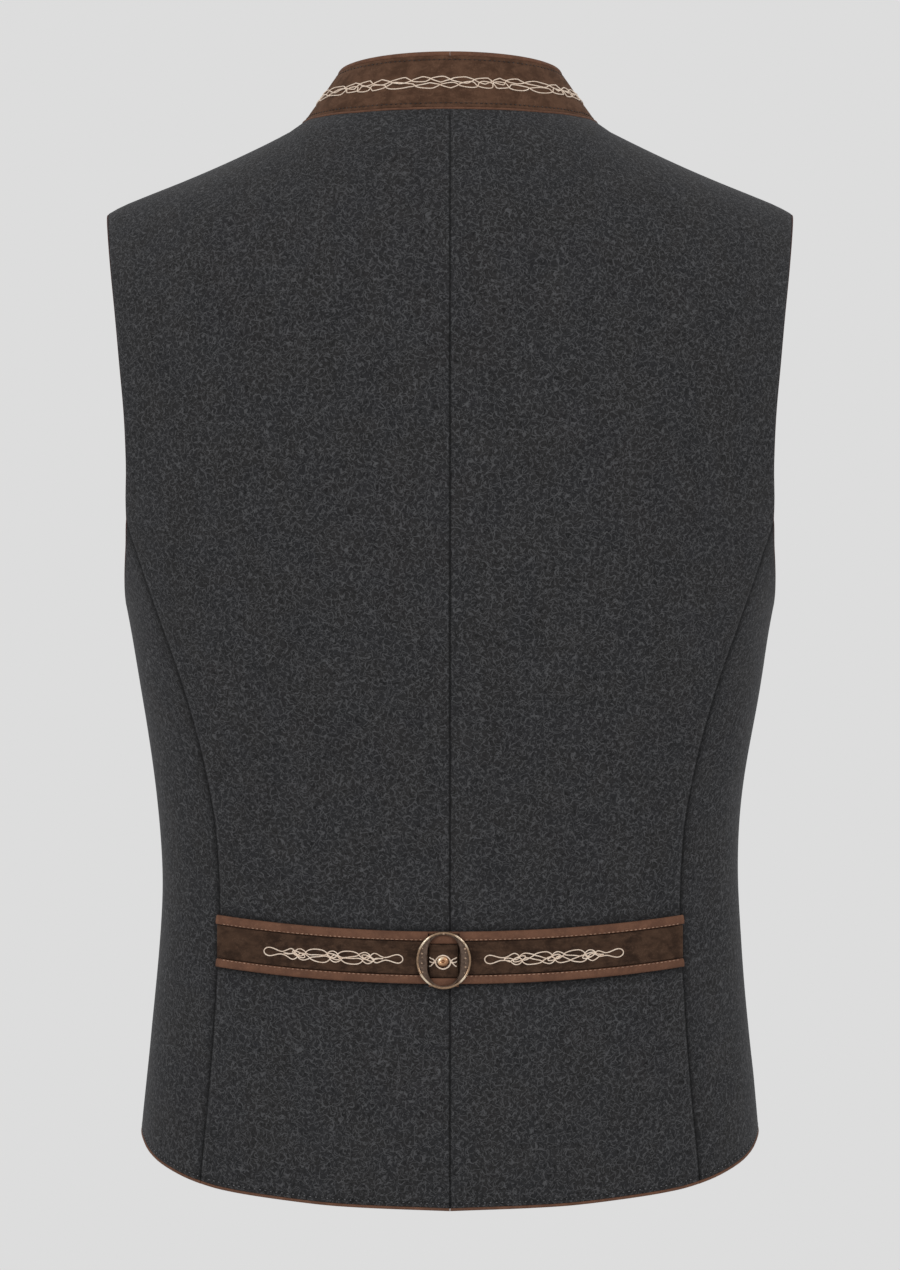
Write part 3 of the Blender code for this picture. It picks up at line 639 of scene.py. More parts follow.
# A sheet over a grid of points, with the thickness of its wall
def addSheet(name, bm, finish, node, thickness, point):
    across, along = np.diff(point, axis=0), np.diff(point, axis=1)
    cells = np.linalg.norm(np.cross(across[:, :-1], along[:-1]), axis=2)
    size = [np.linalg.norm(step, axis=2).sum(axis).max() for axis, step in enumerate((across, along))]
    print(name, "flat size %.1f x %.1f mm, area %.5f m2" % (*size, cells.sum() * 1e-6))
    facesOutward(bm, point[..., 2].mean())
    return addPiece(name, bm, finish, [node], recalc=False, mergeAt=0.001,
                    modifiers=[("SOLIDIFY", {"thickness": thickness * mm, "offset": -1.0})])


# A profile of (sideways, outward) steps carried along a path
def sweptShape(path, sideways, outward, profile, closed=False, bm=None, side=1):
    loop = list(profile) + [profile[0]]
    points = np.stack([path + sideways * a + outward * b for a, b in loop], 1)
    if closed:
        points = np.concatenate([points, points[:1]], 0)
    part = gridShape(points, side)
    capEnds(part)
    if bm is None:
        return part
    mesh = meshOf("part", part)
    bm.from_mesh(mesh)
    bpy.data.meshes.remove(mesh)
    return bm


def roundProfile(radius, sides):
    return [(radius * math.cos(2 * math.pi * k / sides), radius * math.sin(2 * math.pi * k / sides))
            for k in range(sides)]


# A flat strip's outline with rounded corners, standing on 0
def stripProfile(width, height, radius, steps=3):
    corners = [(width / 2 - radius, height - radius, 0), (-width / 2 + radius, height - radius, 90),
               (-width / 2 + radius, radius, 180), (width / 2 - radius, radius, 270)]
    return [(x + radius * math.cos(math.radians(start + 90 * k / steps)),
             y + radius * math.sin(math.radians(start + 90 * k / steps)))
            for x, y, start in corners for k in range(steps + 1)]


# A binding's outline, domed like folded leather and standing on 0
domePower = 2.8


def domeProfile(width, height, steps=26):
    turns = [2 * math.pi * k / steps for k in range(steps)]
    bend = lambda value: math.copysign(abs(value) ** (2 / domePower), value)
    return [(width / 2 * bend(math.cos(turn)), height / 2 * (1 + bend(math.sin(turn)))) for turn in turns]


def domeTop(width, height, inset):
    return height / 2 * (1 + (1 - (1 - 2 * inset / width) ** domePower) ** (1 / domePower))


def cordFrames(path, closed=False):
    along = np.gradient(path, axis=0)
    if closed:
        along = np.roll(path, -1, 0) - np.roll(path, 1, 0)
    return unit(along)


# A thread laid along points over a surface
def threadShape(path, normal, radius, sides=7, closed=False, bm=None, side=1):
    along = cordFrames(path, closed)
    sideways = unit(np.cross(along, normal))
    return sweptShape(path, sideways, normal, roundProfile(radius, sides), closed, bm, side)


# A row of single stitches: small flattened beads that lie evenly along the path
def stitchRow(bm, path, normal, spacing, length, width, side=1):
    path, normal = evenPath(path, normal, spacing)
    along = cordFrames(path)
    for point, up, direction in zip(path, normal, along):
        z = Vector(up)
        x = Vector(direction) - z * z.dot(Vector(direction))
        x.normalize()
        turn = Matrix((x, z.cross(x), z)).transposed().to_4x4()
        size = Matrix.Diagonal((length / 2 * mm, width / 2 * mm, width / 2 * mm, 1))
        mirror = Matrix.Diagonal((side, 1, 1, 1))
        bmesh.ops.create_icosphere(bm, subdivisions=1, radius=1,
                                   matrix=mirror @ Matrix.Translation(Vector(point) * mm) @ turn @ size)


def evenPath(path, normal, spacing):
    steps = np.linalg.norm(np.diff(path, axis=0), axis=1)
    run = np.concatenate([[0], np.cumsum(steps)])
    at = np.arange(spacing * 0.5, run[-1] - spacing * 0.4, spacing)
    points = np.stack([np.interp(at, run, path[:, k]) for k in range(3)], 1)
    normals = unit(np.stack([np.interp(at, run, normal[:, k]) for k in range(3)], 1))
    return points, normals


# Quarter round by which a cloth edge turns down into its seam
def rolled(distance, depth, width):
    t = np.clip(1 - distance / width, 0, 1)
    return -depth * (1 - np.sqrt(1 - t * t))


def waves(at, seed, lengths):
    phases = np.random.default_rng(seed).uniform(0, 2 * math.pi, len(lengths))
    return sum(np.sin(2 * math.pi * at / size + phase) for size, phase in zip(lengths, phases)) / len(lengths)


# How far every point is from a line along a panel's edge
def awayFrom(points, line):
    step = np.diff(line, axis=0)
    offset = points[..., None, :] - line[:-1]
    share = np.clip(np.sum(offset * step, -1) / np.maximum(np.sum(step * step, -1), 1e-9), 0, 1)
    return np.linalg.norm(offset - share[..., None] * step, axis=-1).min(-1)


def spread(cuts, counts, edge):
    # places from 0 to 1 that pass through every cut, with extra ones beside both ends
    places = [np.linspace(a, b, count, endpoint=False) for a, b, count in zip(cuts, cuts[1:], counts)]
    places = np.concatenate(places + [[1.0]])
    near = np.array(edge)
    return np.unique(np.round(np.concatenate([places, near, 1 - near]), 6))


panels = {
    "thickness": 2.0,
    "pucker": 0.22,       # how far the cloth waves beside its seams
    "puckerReach": 9.0,
    "puckerWaves": (8.5, 13.0, 21.0),
    "fold": 0.55,         # long soft waves over the whole panel
    "hemRoll": (0.7, 1.4),
    "stitchAbove": 2.6,   # the topstitching above the hem
    "groove": 0.3,
    # painted shadow above and below the belt
    "beltShadow": {"middle": -478.4, "rise": 8.0, "end": 131.0, "half": 14.5, "reach": 3.4, "strength": 0.5},
    # reach of the side edges into their seams, as shares
    "meet": {"back": (0.0013, 0.0026), "side": (0.0032, 0.0028), "fron": (0.0013, 0.0026)},
    "rollFade": (2.0, 12.0),  # towards the top
    "besideBelt": ((-508, -488, 1.8), (-465, -446, 1.8)),  # heights of extra rows along the belt's edges
    "rowsFrom": -612.0,
    "hemGrooveShade": (0.65, 0.8),   # strength and width of the painted shade in the groove under the topstitching
}


def clothPanel(name, node, place, us, vs, side, rolls, paintedShading, seed, lift=None):
    inner, outer = panels["meet"][name[:4]]
    u, v = np.meshgrid(us * (1 + inner + outer) - inner, vs, indexing="ij")
    point, normal = placed(place, u, v)
    across = np.cumsum(np.linalg.norm(np.diff(point, axis=0, prepend=point[:1]), axis=2), axis=0)
    along = np.cumsum(np.linalg.norm(np.diff(point, axis=1, prepend=point[:, :1]), axis=2), axis=1)
    fromInner, fromOuter = awayFrom(point, point[0]), awayFrom(point, point[-1])
    fromHem, fromTop = awayFrom(point, point[:, 0]), awayFrom(point, point[:, -1])
    out = np.zeros(u.shape)
    extra, fade = panels["rollFade"]
    for distance, (depth, width), number in ((fromInner, rolls[0], 1), (fromOuter, rolls[1], 2)):
        out += rolled(distance, depth, width) * softStep((fromTop + extra) / fade)
        wave = panels["pucker"] * waves(point[..., 2], seed + number, panels["puckerWaves"])
        out += wave * np.exp(-distance / panels["puckerReach"]) * np.minimum(distance / 1.5, 1)
    out += rolled(fromHem, *panels["hemRoll"]) + rolled(fromTop, *rolls[2])
    out -= panels["groove"] * np.exp(-((fromHem - panels["stitchAbove"]) / 0.7) ** 2)
    fold = waves(across * 0.9 + along * 0.35, seed + 5, (96.0, 150.0))
    fold = fold + waves(across * 0.4 - along, seed + 6, (120.0, 190.0))
    inside = np.minimum.reduce([fromInner, fromOuter, fromHem, fromTop]) / 40.0
    out += panels["fold"] * fold * softStep(inside)
    if lift is not None:
        out += lift(point)
    dark = np.zeros(u.shape)
    # painted shade beside each seam, less a painted highlight along the raised edge just inside it
    for distance, (strength, width, light) in ((fromInner, paintedShading[0]), (fromOuter, paintedShading[1])):
        dark += strength * np.exp(-(distance / width) ** 2) - light * np.exp(-((distance - 1.1) / 0.6) ** 2)
    # painted shade in the groove under the hem's topstitching
    strength, width = panels["hemGrooveShade"]
    dark += strength * np.exp(-((fromHem - panels["stitchAbove"]) / width) ** 2)
    # painted shadow along the belt's upper and lower edges on the back panels
    if name.startswith("back"):
        beltShadow = panels["beltShadow"]
        share = point[..., 0] / beltShadow["end"]
        past = abs(point[..., 2] - beltShadow["middle"] - beltShadow["rise"] * share ** 2) - beltShadow["half"]
        dark += (beltShadow["strength"] * np.exp(-(np.maximum(past, 0) / beltShadow["reach"]) ** 2)
                 * softStep((1.035 - share) / 0.03))
    flat = np.stack([across * side, along, np.zeros(u.shape)], -1) * mm + seed * 0.37
    bm = gridShape(point + normal * out[..., None], side, dark, flat)
    return addSheet(name, bm, "felt", node, panels["thickness"], point)


edgeSteps = (0.0009, 0.0022, 0.004, 0.0065, 0.0105, 0.017)
hemSteps = (0.0006, 0.0013, 0.0021, 0.003, 0.0042, 0.0058, 0.0085)
backColumns = spread((0, body["corner"], 1), (22, 18), edgeSteps)
backRows = spread((0, *body["backRows"], 1), (62, 13, 34), hemSteps)
heights = np.concatenate([np.arange(*rows) for rows in panels["besideBelt"]])
besideBelt = (heights - panels["rowsFrom"]) / (body["armholeTop"] - panels["rowsFrom"])
backRows = np.unique(np.round(np.concatenate([backRows, besideBelt * body["backRows"][0]]), 6))
sideColumns = spread((0, 1), (22,), (0.0025, 0.006, 0.011, 0.018, 0.028))
sideRows = spread((0, 1), (62,), (0.0012, 0.0025, 0.004, 0.006, 0.0085, 0.012))
frontRows = spread((0, *body["frontRows"], 1), (48, 14, 34), hemSteps)
for word, side in sides:
    low = word.lower()
    back = clothPanel("back" + word, "back_" + low, backPlace, backColumns, backRows, side,
                      ((1.2, 1.6), (0.35, 0.5), (0.2, 0.8)), ((0.85, 0.8, 0.12), (0.95, 0.7, 0.3)), 11 + side)
    wing = clothPanel("side" + word, "side_" + low, sidePlace, sideColumns, sideRows, side,
                      ((1.8, 4.0), (0.9, 1.2), (0.25, 0.8)), ((0.8, 2.6, 0.0), (0.7, 0.7, 0.1)), 31 + side)
    front = clothPanel("front" + word, "front_" + low, frontPlace, backColumns, frontRows, side,
                       ((0.5, 0.9), (0.5, 0.8), (0.2, 0.8)), ((0.0, 1.0, 0.0), (0.7, 0.7, 0.1)), 51 + side,
                       lapLift if side > 0 else None)
print("felt panels made")

# Leather edge along the hem, and the topstitching above it
hemEdge = {"height": 1.7, "thickness": 2.4, "round": 0.75, "gap": -0.35,
           "stitch": (3.3, 1.3, 0.62)}  # spacing, length and width


def hemPath(place, us, above):
    # points a little above the hem (or below it, for a negative distance) and their normals
    point, normal = placed(place, us, np.zeros(len(us)))
    up = unit(place(us, 0.01) - point)
    return point + up * above, normal, up


for word, side in sides:
    stitches = bmesh.new()
    for panel, place, us in (("back", backPlace, backColumns), ("side", sidePlace, sideColumns),
                             ("front", frontPlace, backColumns)):
        path, normal, up = hemPath(place, us, -hemEdge["gap"] - hemEdge["height"] / 2)
        lift = lapLift(path) if panel == "front" and side > 0 else np.zeros(len(us))
        path = path + normal * (lift - panels["thickness"] / 2 - hemEdge["thickness"] / 2)[:, None]
        profile = stripProfile(hemEdge["height"], hemEdge["thickness"], hemEdge["round"])
        strip = sweptShape(path, up, normal, profile, side=side)
        addPiece("hemEdge" + panel.title() + word, strip, "leather",
                 ["hem_piping_" + panel + "_" + word.lower()])
        seat, normal, up = hemPath(place, np.linspace(0.01, 0.99, 80), panels["stitchAbove"])
        lift = lapLift(seat) if panel == "front" and side > 0 else np.zeros(80)
        stitchRow(stitches, seat + normal * (lift - 0.1)[:, None], normal, *hemEdge["stitch"], side)
    addPiece("hemStitches" + word, stitches, "greyThread", mergeAt=0.001)
print("hem made")

# Piping round the armholes
armholeEdge = {"radius": 0.85, "gap": -0.25}


def armholePath(offset):
    backV = np.linspace(1, body["backRows"][0], 44)[:-1]
    sideU = np.linspace(0, 1, 34)[:-1]
    frontV = np.linspace(body["frontRows"][0], 1, 60)
    parts = [placed(backPlace, np.ones(len(backV)), backV), placed(sidePlace, sideU, np.ones(len(sideU))),
             placed(frontPlace, np.ones(len(frontV)), frontV)]
    point = np.concatenate([part[0] for part in parts])
    normal = np.concatenate([part[1] for part in parts])
    for _ in range(2):
        normal = unit(np.roll(normal, 1, 0) + normal * 2 + np.roll(normal, -1, 0))
    inward = unit(np.cross(normal, cordFrames(point, True)))
    centre = np.array([0, 0, (body["armholeTop"] + body["shoulder"][-1][1]) / 2])
    toCentre = (centre - point) * np.array([0, 1, 1])
    inward *= np.where(np.sum(inward * toCentre, 1) < 0, -1.0, 1.0)[:, None]
    return point + inward * offset, normal, inward


for word, side in sides:
    path, normal, inward = armholePath(armholeEdge["gap"] + armholeEdge["radius"])
    path = path - normal * panels["thickness"] / 2
    piping = sweptShape(path, inward, normal, roundProfile(armholeEdge["radius"], 10), True, side=side)
    addPiece("armholePiping" + word, piping, "redLeather", ["armhole_piping_" + word.lower()])
print("armholes made")

# Stand collar: suede, a leather binding on top, a leather edge at the neck, a thread braid and stitches
collar = {
    "halfWidth": 65.0, "middleY": 12.0, "back": 48.0, "front": 90.0,
    "backZ": 34.0, "sideZ": 27.2, "frontZ": -40.0, "fall": 1.5, "hollow": 0.6,
    "thickness": 2.4, "start": 1.2, "seam": -0.4, "binding": 2.9, "bindingProud": 0.35, "bindingRound": 0.95,
    "pipingRadius": 0.85, "pipingDepth": 0.3, "pipingAt": 0.45,
    "braidLevel": 0.49, "braidLens": 11.6, "braidCentre": 1.95, "braidSwing": 1.65, "threadRadius": 0.35,
    "braidMargin": 9.0,
    "upperStitches": 2.6, "lowerStitches": 2.4, "stitch": (2.9, 1.6, 0.6),
}


def necklinePoint(angle):
    front = np.cos(angle) < 0
    x = body["neckHalfWidth"] * np.sin(angle)
    start = np.where(front, sectionPoint(angleAtX(x, chestZ, True), chestZ)[..., 1],
                     sectionPoint(angleAtX(x, chestZ), chestZ)[..., 1])
    y = necklineY(x, front)
    power = body["crownPower"]
    z = chestZ + crownHeight(x, front) * (1 - (y / abs(start)) ** power) ** (1 / power)
    return np.stack([x, np.where(front, -y, y), z], -1)


def collarTop(angle):
    turn = np.cos(angle)
    ahead = np.maximum(-turn, 0)
    z = np.where(turn >= 0, mixed(collar["sideZ"], collar["backZ"], turn),
                 mixed(collar["sideZ"], collar["frontZ"], ahead ** collar["fall"])
                 + (collar["backZ"] - collar["sideZ"]) * turn * (1 + turn))
    reach = np.where(turn >= 0, collar["back"], collar["front"])
    return np.stack([collar["halfWidth"] * np.sin(angle), collar["middleY"] + reach * turn, z], -1)


def collarPlace(u, v):
    u, v = pair(u, v)
    gap = body["centreGap"] / body["neckHalfWidth"]
    angle = mixed(-math.pi + gap, math.pi - gap, u)
    low, high = necklinePoint(angle), collarTop(angle)
    inward = np.stack([-np.sin(angle), -np.cos(angle), np.zeros_like(angle)], -1)
    return low + (high - low) * v[..., None] + inward * (collar["hollow"] * 4 * v * (1 - v))[..., None]


def collarHeight(u):
    return np.linalg.norm(collarPlace(u, 1.0) - collarPlace(u, 0.0), axis=-1)


collarUs = spread((0, 1), (230,), (0.0004, 0.001, 0.002))
u = collarUs[:, None]
tall = collarHeight(collarUs)[:, None]
stitchRows = np.array([-0.9, -0.45, -0.2, 0.0, 0.2, 0.45, 0.9])
nearNeck = np.concatenate([[0, 0.3, 0.8], collar["lowerStitches"] + stitchRows]) + collar["start"]
nearTop = np.concatenate([collar["upperStitches"] + stitchRows[::-1], [1.0, 0.5, 0.2, 0.0]])
between = mixed(nearNeck[-1] / tall, 1 - nearTop[0] / tall, np.linspace(0, 1, 12)[None, 1:-1])
v = np.concatenate([nearNeck / tall, between, 1 - nearTop / tall], axis=1)
u, v = pair(u, v)
height = float(collarHeight(0.5))
point, normal = placed(collarPlace, u, v)
fromTop = (1 - v) * tall
fromNeck = v * tall
out = rolled(fromTop, 0.5, 1.2) + rolled(fromNeck - collar["start"], 0.4, 1.0)
out += 0.3 * softStep(fromTop / 8.0) * softStep((fromNeck - 2.0) / 8.0)
groove = np.exp(-((fromTop - collar["upperStitches"]) / 0.45) ** 2)
groove += np.exp(-((fromNeck - collar["start"] - collar["lowerStitches"]) / 0.45) ** 2)
out += 0.12 * waves(u * 430.0, 71, (17.0, 29.0, 47.0)) - 0.25 * groove
# the grooves' values paint shade into the collar's stitch grooves
band = gridShape(point + normal * out[..., None], 1, groove * 0.25)
stand = addSheet("collarStand", band, "collarSuede", "collar", collar["thickness"], point)

for word, begin, end in (("Left", 0.5001, 1.0), ("Right", 0.0, 0.4999)):
    us = np.linspace(begin, end, 130)
    low, normal = placed(collarPlace, us, np.ones(130))
    up = unit(collarPlace(us, 1.02) - collarPlace(us, 0.98))
    depth = collar["thickness"] + collar["bindingProud"]
    path = low + up * (collar["seam"] + collar["binding"] / 2) - normal * depth
    profile = stripProfile(collar["binding"], depth + collar["bindingProud"], collar["bindingRound"])
    strip = sweptShape(path, up, normal, profile)
    addPiece("collarBinding" + word, strip, "leather", ["collar_binding_" + word.lower()])

us = np.linspace(0, 1, 240)
path, normal = placed(collarPlace, us, np.full(240, collar["pipingAt"] / height))
path = path - normal * collar["pipingDepth"]
addPiece("collarPiping", threadShape(path, normal, collar["pipingRadius"], 9), "leather",
         ["collar_piping"])


# Two chains of long rounded openings, one over the other: the steps over a band's middle
def chains(turn, shift, centre, swing):
    upper, lower = [np.copysign(abs(np.sin(at)) ** 0.7, np.sin(at)) for at in (turn, turn + shift)]
    return [centre + swing * upper, centre - swing * upper, -centre + swing * lower, -centre - swing * lower]


def collarBraid():
    bm = bmesh.new()
    fine = np.linspace(0, 1, 900)
    line = collarPlace(fine, collar["braidLevel"])
    run = np.concatenate([[0], np.cumsum(np.linalg.norm(np.diff(line, axis=0), axis=1))])
    margin = collar["braidMargin"]
    s = np.arange(0, run[-1] - 2 * margin, 0.55)
    turn = math.pi * s / collar["braidLens"] + 0.9 * waves(s, 83, (61.0, 43.0))
    shift = 0.3 + 1.2 * waves(s, 84, (97.0, 58.0))
    close = softStep(0.5 + 1.2 * waves(s, 85, (71.0, 47.0)))
    fade = softStep(s / 6.0) * softStep((s[-1] - s) / 6.0)
    centre, swing = collar["braidCentre"] * (1 - 0.35 * close), collar["braidSwing"] * (1 + 0.15 * close)
    strands = chains(turn, shift, centre, swing)
    for number, over in enumerate(strands):
        along = s + 1.1 * np.sin(2 * turn + number * 1.3)
        over = over * fade + 0.35 * waves(s, 90 + number, (13.0, 19.0, 31.0))
        u = np.interp(along + margin, run, fine)
        point, normal = placed(collarPlace, u, collar["braidLevel"] + over / collarHeight(u))
        lift = 0.2 * np.sin(2.3 * turn + number * 1.9)
        path = point + normal * (0.3 + collar["threadRadius"] * 0.75 + lift)[:, None]
        threadShape(path, normal, collar["threadRadius"], 6, bm=bm)
    return bm


addPiece("collarBraid", collarBraid(), "thread", mergeAt=0.001)

rows = bmesh.new()
for distance, fromBelow in ((collar["upperStitches"], False),
                            (collar["lowerStitches"] + collar["start"], True)):
    us = np.linspace(0.01, 0.99, 300)
    v = distance / collarHeight(us) if fromBelow else 1 - distance / collarHeight(us)
    point, normal = placed(collarPlace, us, v)
    stitchRow(rows, point + normal * 0.02, normal, *collar["stitch"])
addPiece("collarStitches", rows, "darkThread", mergeAt=0.001)
print("collar made")

# Half belt with its bindings, stitches and thread motifs
belt = {
    "middleZ": -478.4, "endRise": 8.0, "endX": 131.0, "field": 18.6, "upper": 5.3, "lower": 4.9,
    "thickness": 2.2, "wall": 1.9, "bindingThickness": 2.8, "gap": 0.4, "seam": 0.3,
    "ringX": 3.5, "clear": 8.8, "threadRadius": 0.33, "stitch": (2.7, 2.0, 0.6), "stitchInset": 0.55,
}
half = (belt["field"] + belt["upper"] + belt["lower"]) / 2 + belt["seam"]
fieldLow = -half + belt["lower"] + belt["seam"]
fieldHigh = fieldLow + belt["field"]
bands = (("upper", fieldHigh + belt["seam"] + belt["upper"] / 2, belt["upper"]),
         ("lower", fieldLow - belt["seam"] - belt["lower"] / 2, belt["lower"]))


def beltPlace(x, over):
    x, over = pair(x, over)
    return backSurface(x, belt["middleZ"] + belt["endRise"] * (x / belt["endX"]) ** 2 + over)


def onBelt(x, over, lift):
    point, normal = placed(beltPlace, x, over, 0.1)
    return point + normal * np.broadcast_to(np.asarray(lift, float), point.shape[:-1])[..., None], normal


beltRings = {"Left": belt["ringX"] + belt["clear"], "Right": belt["ringX"] - belt["clear"]}
for word, side in sides:
    low = word.lower()
    start, end = beltRings[word], belt["endX"] * side
    xs = mixed(start, end, spread((0, 1), (70,), (0.002, 0.005, 0.01)))
    overs = mixed(fieldLow, fieldHigh, spread((0, 1), (14,), (0.012, 0.03, 0.06)))
    x, over = np.meshgrid(xs, overs, indexing="ij")
    edge = np.minimum(over - fieldLow, fieldHigh - over)
    tip = np.abs(x - end)
    top = belt["gap"] + belt["thickness"] + rolled(edge, 0.6, 1.0) + rolled(tip, 0.9, 1.0)
    top = top + 0.12 * waves(x, 91 + side, (19.0, 31.0))
    point, normal = onBelt(x, over, top)
    suedeBelt = addSheet("belt" + word, gridShape(point), "beltSuede", "belt_" + low,
                         belt["wall"], point)
    "back_" + low
    for band, middle, width in bands:
        path, normal = onBelt(xs, np.full(len(xs), middle), belt["gap"])
        raised = belt["bindingThickness"] + 0.1 * waves(xs, 95 + side, (15.0, 27.0))
        path = path + normal * (raised - belt["bindingThickness"])[:, None]
        up = unit(np.cross(normal, cordFrames(path)))
        up *= np.where(up[:, 2] < 0, -1.0, 1.0)[:, None]
        strip = sweptShape(path, up, normal, domeProfile(width, belt["bindingThickness"]))
        addPiece("belt" + band.title() + "Binding" + word, strip, "leather",
                 ["belt_" + low + "_" + band + "_binding"])
    rows = bmesh.new()
    for base, width, way in ((fieldHigh, belt["upper"], 1), (fieldLow, belt["lower"], -1)):
        over = base + way * (belt["seam"] + belt["stitchInset"])
        top = belt["gap"] + domeTop(width, belt["bindingThickness"], belt["stitchInset"]) + 0.08
        path, normal = onBelt(np.linspace(start, end - 1.5 * side, 120), np.full(120, over), top)
        stitchRow(rows, path, normal, *belt["stitch"])
    addPiece("beltStitches" + word, rows, "tanThread", mergeAt=0.001)

# The belt's upper edge goes on behind the ring
xs = np.linspace(belt["ringX"] - 9.4, belt["ringX"] + 9.4, 21)
path, normal = onBelt(xs, np.full(21, half - 0.75), belt["gap"])
up = unit(np.cross(cordFrames(path), normal))
strip = sweptShape(path, up, normal, domeProfile(1.5, 2.2, 16))
addPiece("beltEdgeBehindRing", strip, "leather")

# Thread motif of a belt half: a long loop with rounded ends, a second loop that crosses it, and a thread
# round each knot
motif = {
    "start": 22.9, "length": 77.4, "level": -1.1, "fall": 0.9, "end": 0.125, "bulb": 2.35, "neck": 0.75,
    "knots": 3, "lenses": 6.6, "centre": 2.0, "swing": 1.65, "shift": 0.8, "loop": (3.4, 1.7),
}


def beltMotif(side, seed):
    bm = bmesh.new()
    rounded = motif["end"] * (1 - np.cos(np.linspace(0, math.pi / 2, 22)))
    t = np.concatenate([rounded, np.linspace(motif["end"], 1 - motif["end"], 320)[1:-1], 1 - rounded[::-1]])
    inside = np.clip((t - motif["end"]) / (1 - 2 * motif["end"]), 0, 1)
    nearEnd = np.clip(np.minimum(t, 1 - t) / motif["end"], 0, 1)
    knot = 0.5 - 0.5 * np.cos(2 * math.pi * motif["knots"] * inside + 0.3 * side)
    fade = softStep(inside * 8) * softStep((1 - inside) * 8)
    turn = math.pi * motif["lenses"] * inside - 0.6 * np.sin(2 * math.pi * motif["knots"] * inside) + 0.4 * side
    strands = chains(turn, motif["shift"] * side, motif["centre"] - 0.9 * knot, motif["swing"] + 0.3 * knot)
    tip = np.sqrt(1 - (1 - np.minimum(nearEnd / 0.3, 1)) ** 2)
    ends = tip * mixed(motif["bulb"], motif["neck"], softStep((nearEnd - 0.3) / 0.7))

    def sew(s, over, closed, number):
        over = over + 0.16 * waves(s, seed + number, (11.0, 17.0, 29.0))
        lift = 0.2 * np.sin(np.arange(len(s)) * 2 * math.pi / 27.0 + number * 1.7) + 0.32
        slope = motif["level"] - motif["fall"] * s / motif["length"]
        path, normal = onBelt(belt["ringX"] + (motif["start"] + s) * side, over + slope,
                              belt["gap"] + belt["thickness"] + lift)
        threadShape(path, normal, belt["threadRadius"], 6, closed=closed, bm=bm)

    s = t * motif["length"]
    outer = mixed(ends, strands[0], fade), mixed(-ends, strands[3], fade)
    sew(np.concatenate([s, s[::-1][1:-1]]), np.concatenate([outer[0], outer[1][::-1][1:-1]]), True, 0)
    within = (inside > 0.02) & (inside < 0.98)
    s, fade = s[within], fade[within]
    inner = strands[1][within] * fade, strands[2][within] * fade
    sew(np.concatenate([s, s[::-1][1:-1]]), np.concatenate([inner[0], inner[1][::-1][1:-1]]), True, 1)
    loopTurn = np.linspace(0, 2 * math.pi, 41)[:-1]
    for number in range(motif["knots"]):
        middle = mixed(motif["end"], 1 - motif["end"], (number + 0.5) / motif["knots"]) * motif["length"]
        wide, tall = motif["loop"]
        sew(middle + wide * np.cos(loopTurn), tall * np.sin(loopTurn + 0.7), True, 2 + number)
    return bm


for word, side in sides:
    addPiece("beltMotif" + word, beltMotif(side, 140 + side), "thread", mergeAt=0.001)
print("belt made")

# Short strap that arches up into the ring
bridge = {"halfWidth": 8.4, "arch": 2.3, "thickness": 1.8, "wall": 1.6, "drop": 1.6, "proud": 0.3}


def onBridge(x, over, lift):
    share = np.minimum(abs(x - belt["ringX"]) / bridge["halfWidth"], 1.0)
    point, normal = placed(beltPlace, x, over - bridge["drop"], 0.1)
    rise = belt["gap"] + bridge["arch"] * (1 - share ** 2) + lift
    return point + normal * np.asarray(rise)[..., None], normal


xs = belt["ringX"] + bridge["halfWidth"] * np.linspace(-1, 1, 25)
overs = mixed(fieldLow, fieldHigh, spread((0, 1), (12,), (0.02, 0.05)))
x, over = np.meshgrid(xs, overs, indexing="ij")
edge = np.minimum(over - fieldLow, fieldHigh - over)
point, normal = onBridge(x, over, bridge["thickness"] + rolled(edge, 0.4, 0.9))
strap = addSheet("beltBridge", gridShape(point), "beltSuede", "belt_bridge",
                 bridge["wall"], point)
for band, middle, width in bands:
    path, normal = onBridge(xs, np.full(len(xs), middle), 0.0)
    up = np.tile([0.0, 0.0, 1.0], (len(xs), 1))
    strip = sweptShape(path, up, normal, domeProfile(width, bridge["thickness"] + bridge["proud"]))
    addPiece("beltBridge" + band.title() + "Binding", strip, "leather",
             ["belt_bridge_" + band + "_binding"])

# Ring buckle: two flat wings with punched beads, a rim with painted highlights, and a copper rivet in the middle
buckle = {
    "x": 3.5, "z": -479.9, "halfWidth": 15.5, "halfHeight": 16.2, "holeHalfWidth": 9.6, "holeHalfHeight": 15.2,
    "holePower": 2.6, "lift": 5.3, "slope": 1.6, "thickness": 1.3, "rim": 0.78, "beads": 6, "beadRadius": 0.62,
    "beadX": 12.3, "beadSpan": 6.8, "wall": 0.9, "bevel": 0.12,
}
ringBase, ringNormal = placed(backSurface, buckle["x"], buckle["z"], 0.1)
ringAcross = unit(np.array([1.0, 0, 0]) - ringNormal * ringNormal[0])
ringUp = np.cross(ringAcross, ringNormal)


def onRing(x, over, lift):
    lift = buckle["lift"] - buckle["slope"] * (x / buckle["halfWidth"]) ** 2 + lift
    steps = np.multiply.outer(x, ringAcross) + np.multiply.outer(over, ringUp)
    return ringBase + steps + np.multiply.outer(lift, ringNormal)


def rimHighlights(f, color):
    # painted highlights on the four diagonals
    right, up = stepsFrom(f, ringBase)
    halfX, halfZ = buckle["halfWidth"] - buckle["rim"], buckle["halfHeight"] - buckle["rim"]
    diagonal = abs(right * up) * (2.0 / halfX / halfZ)
    patchy = f.between(f.noise(240.0, 2.0), 0.3, 0.6)
    return f.blend(f.between(diagonal, 0.72, 0.97) * patchy * 0.85, color, shade(0.92, 0.78, 0.6))


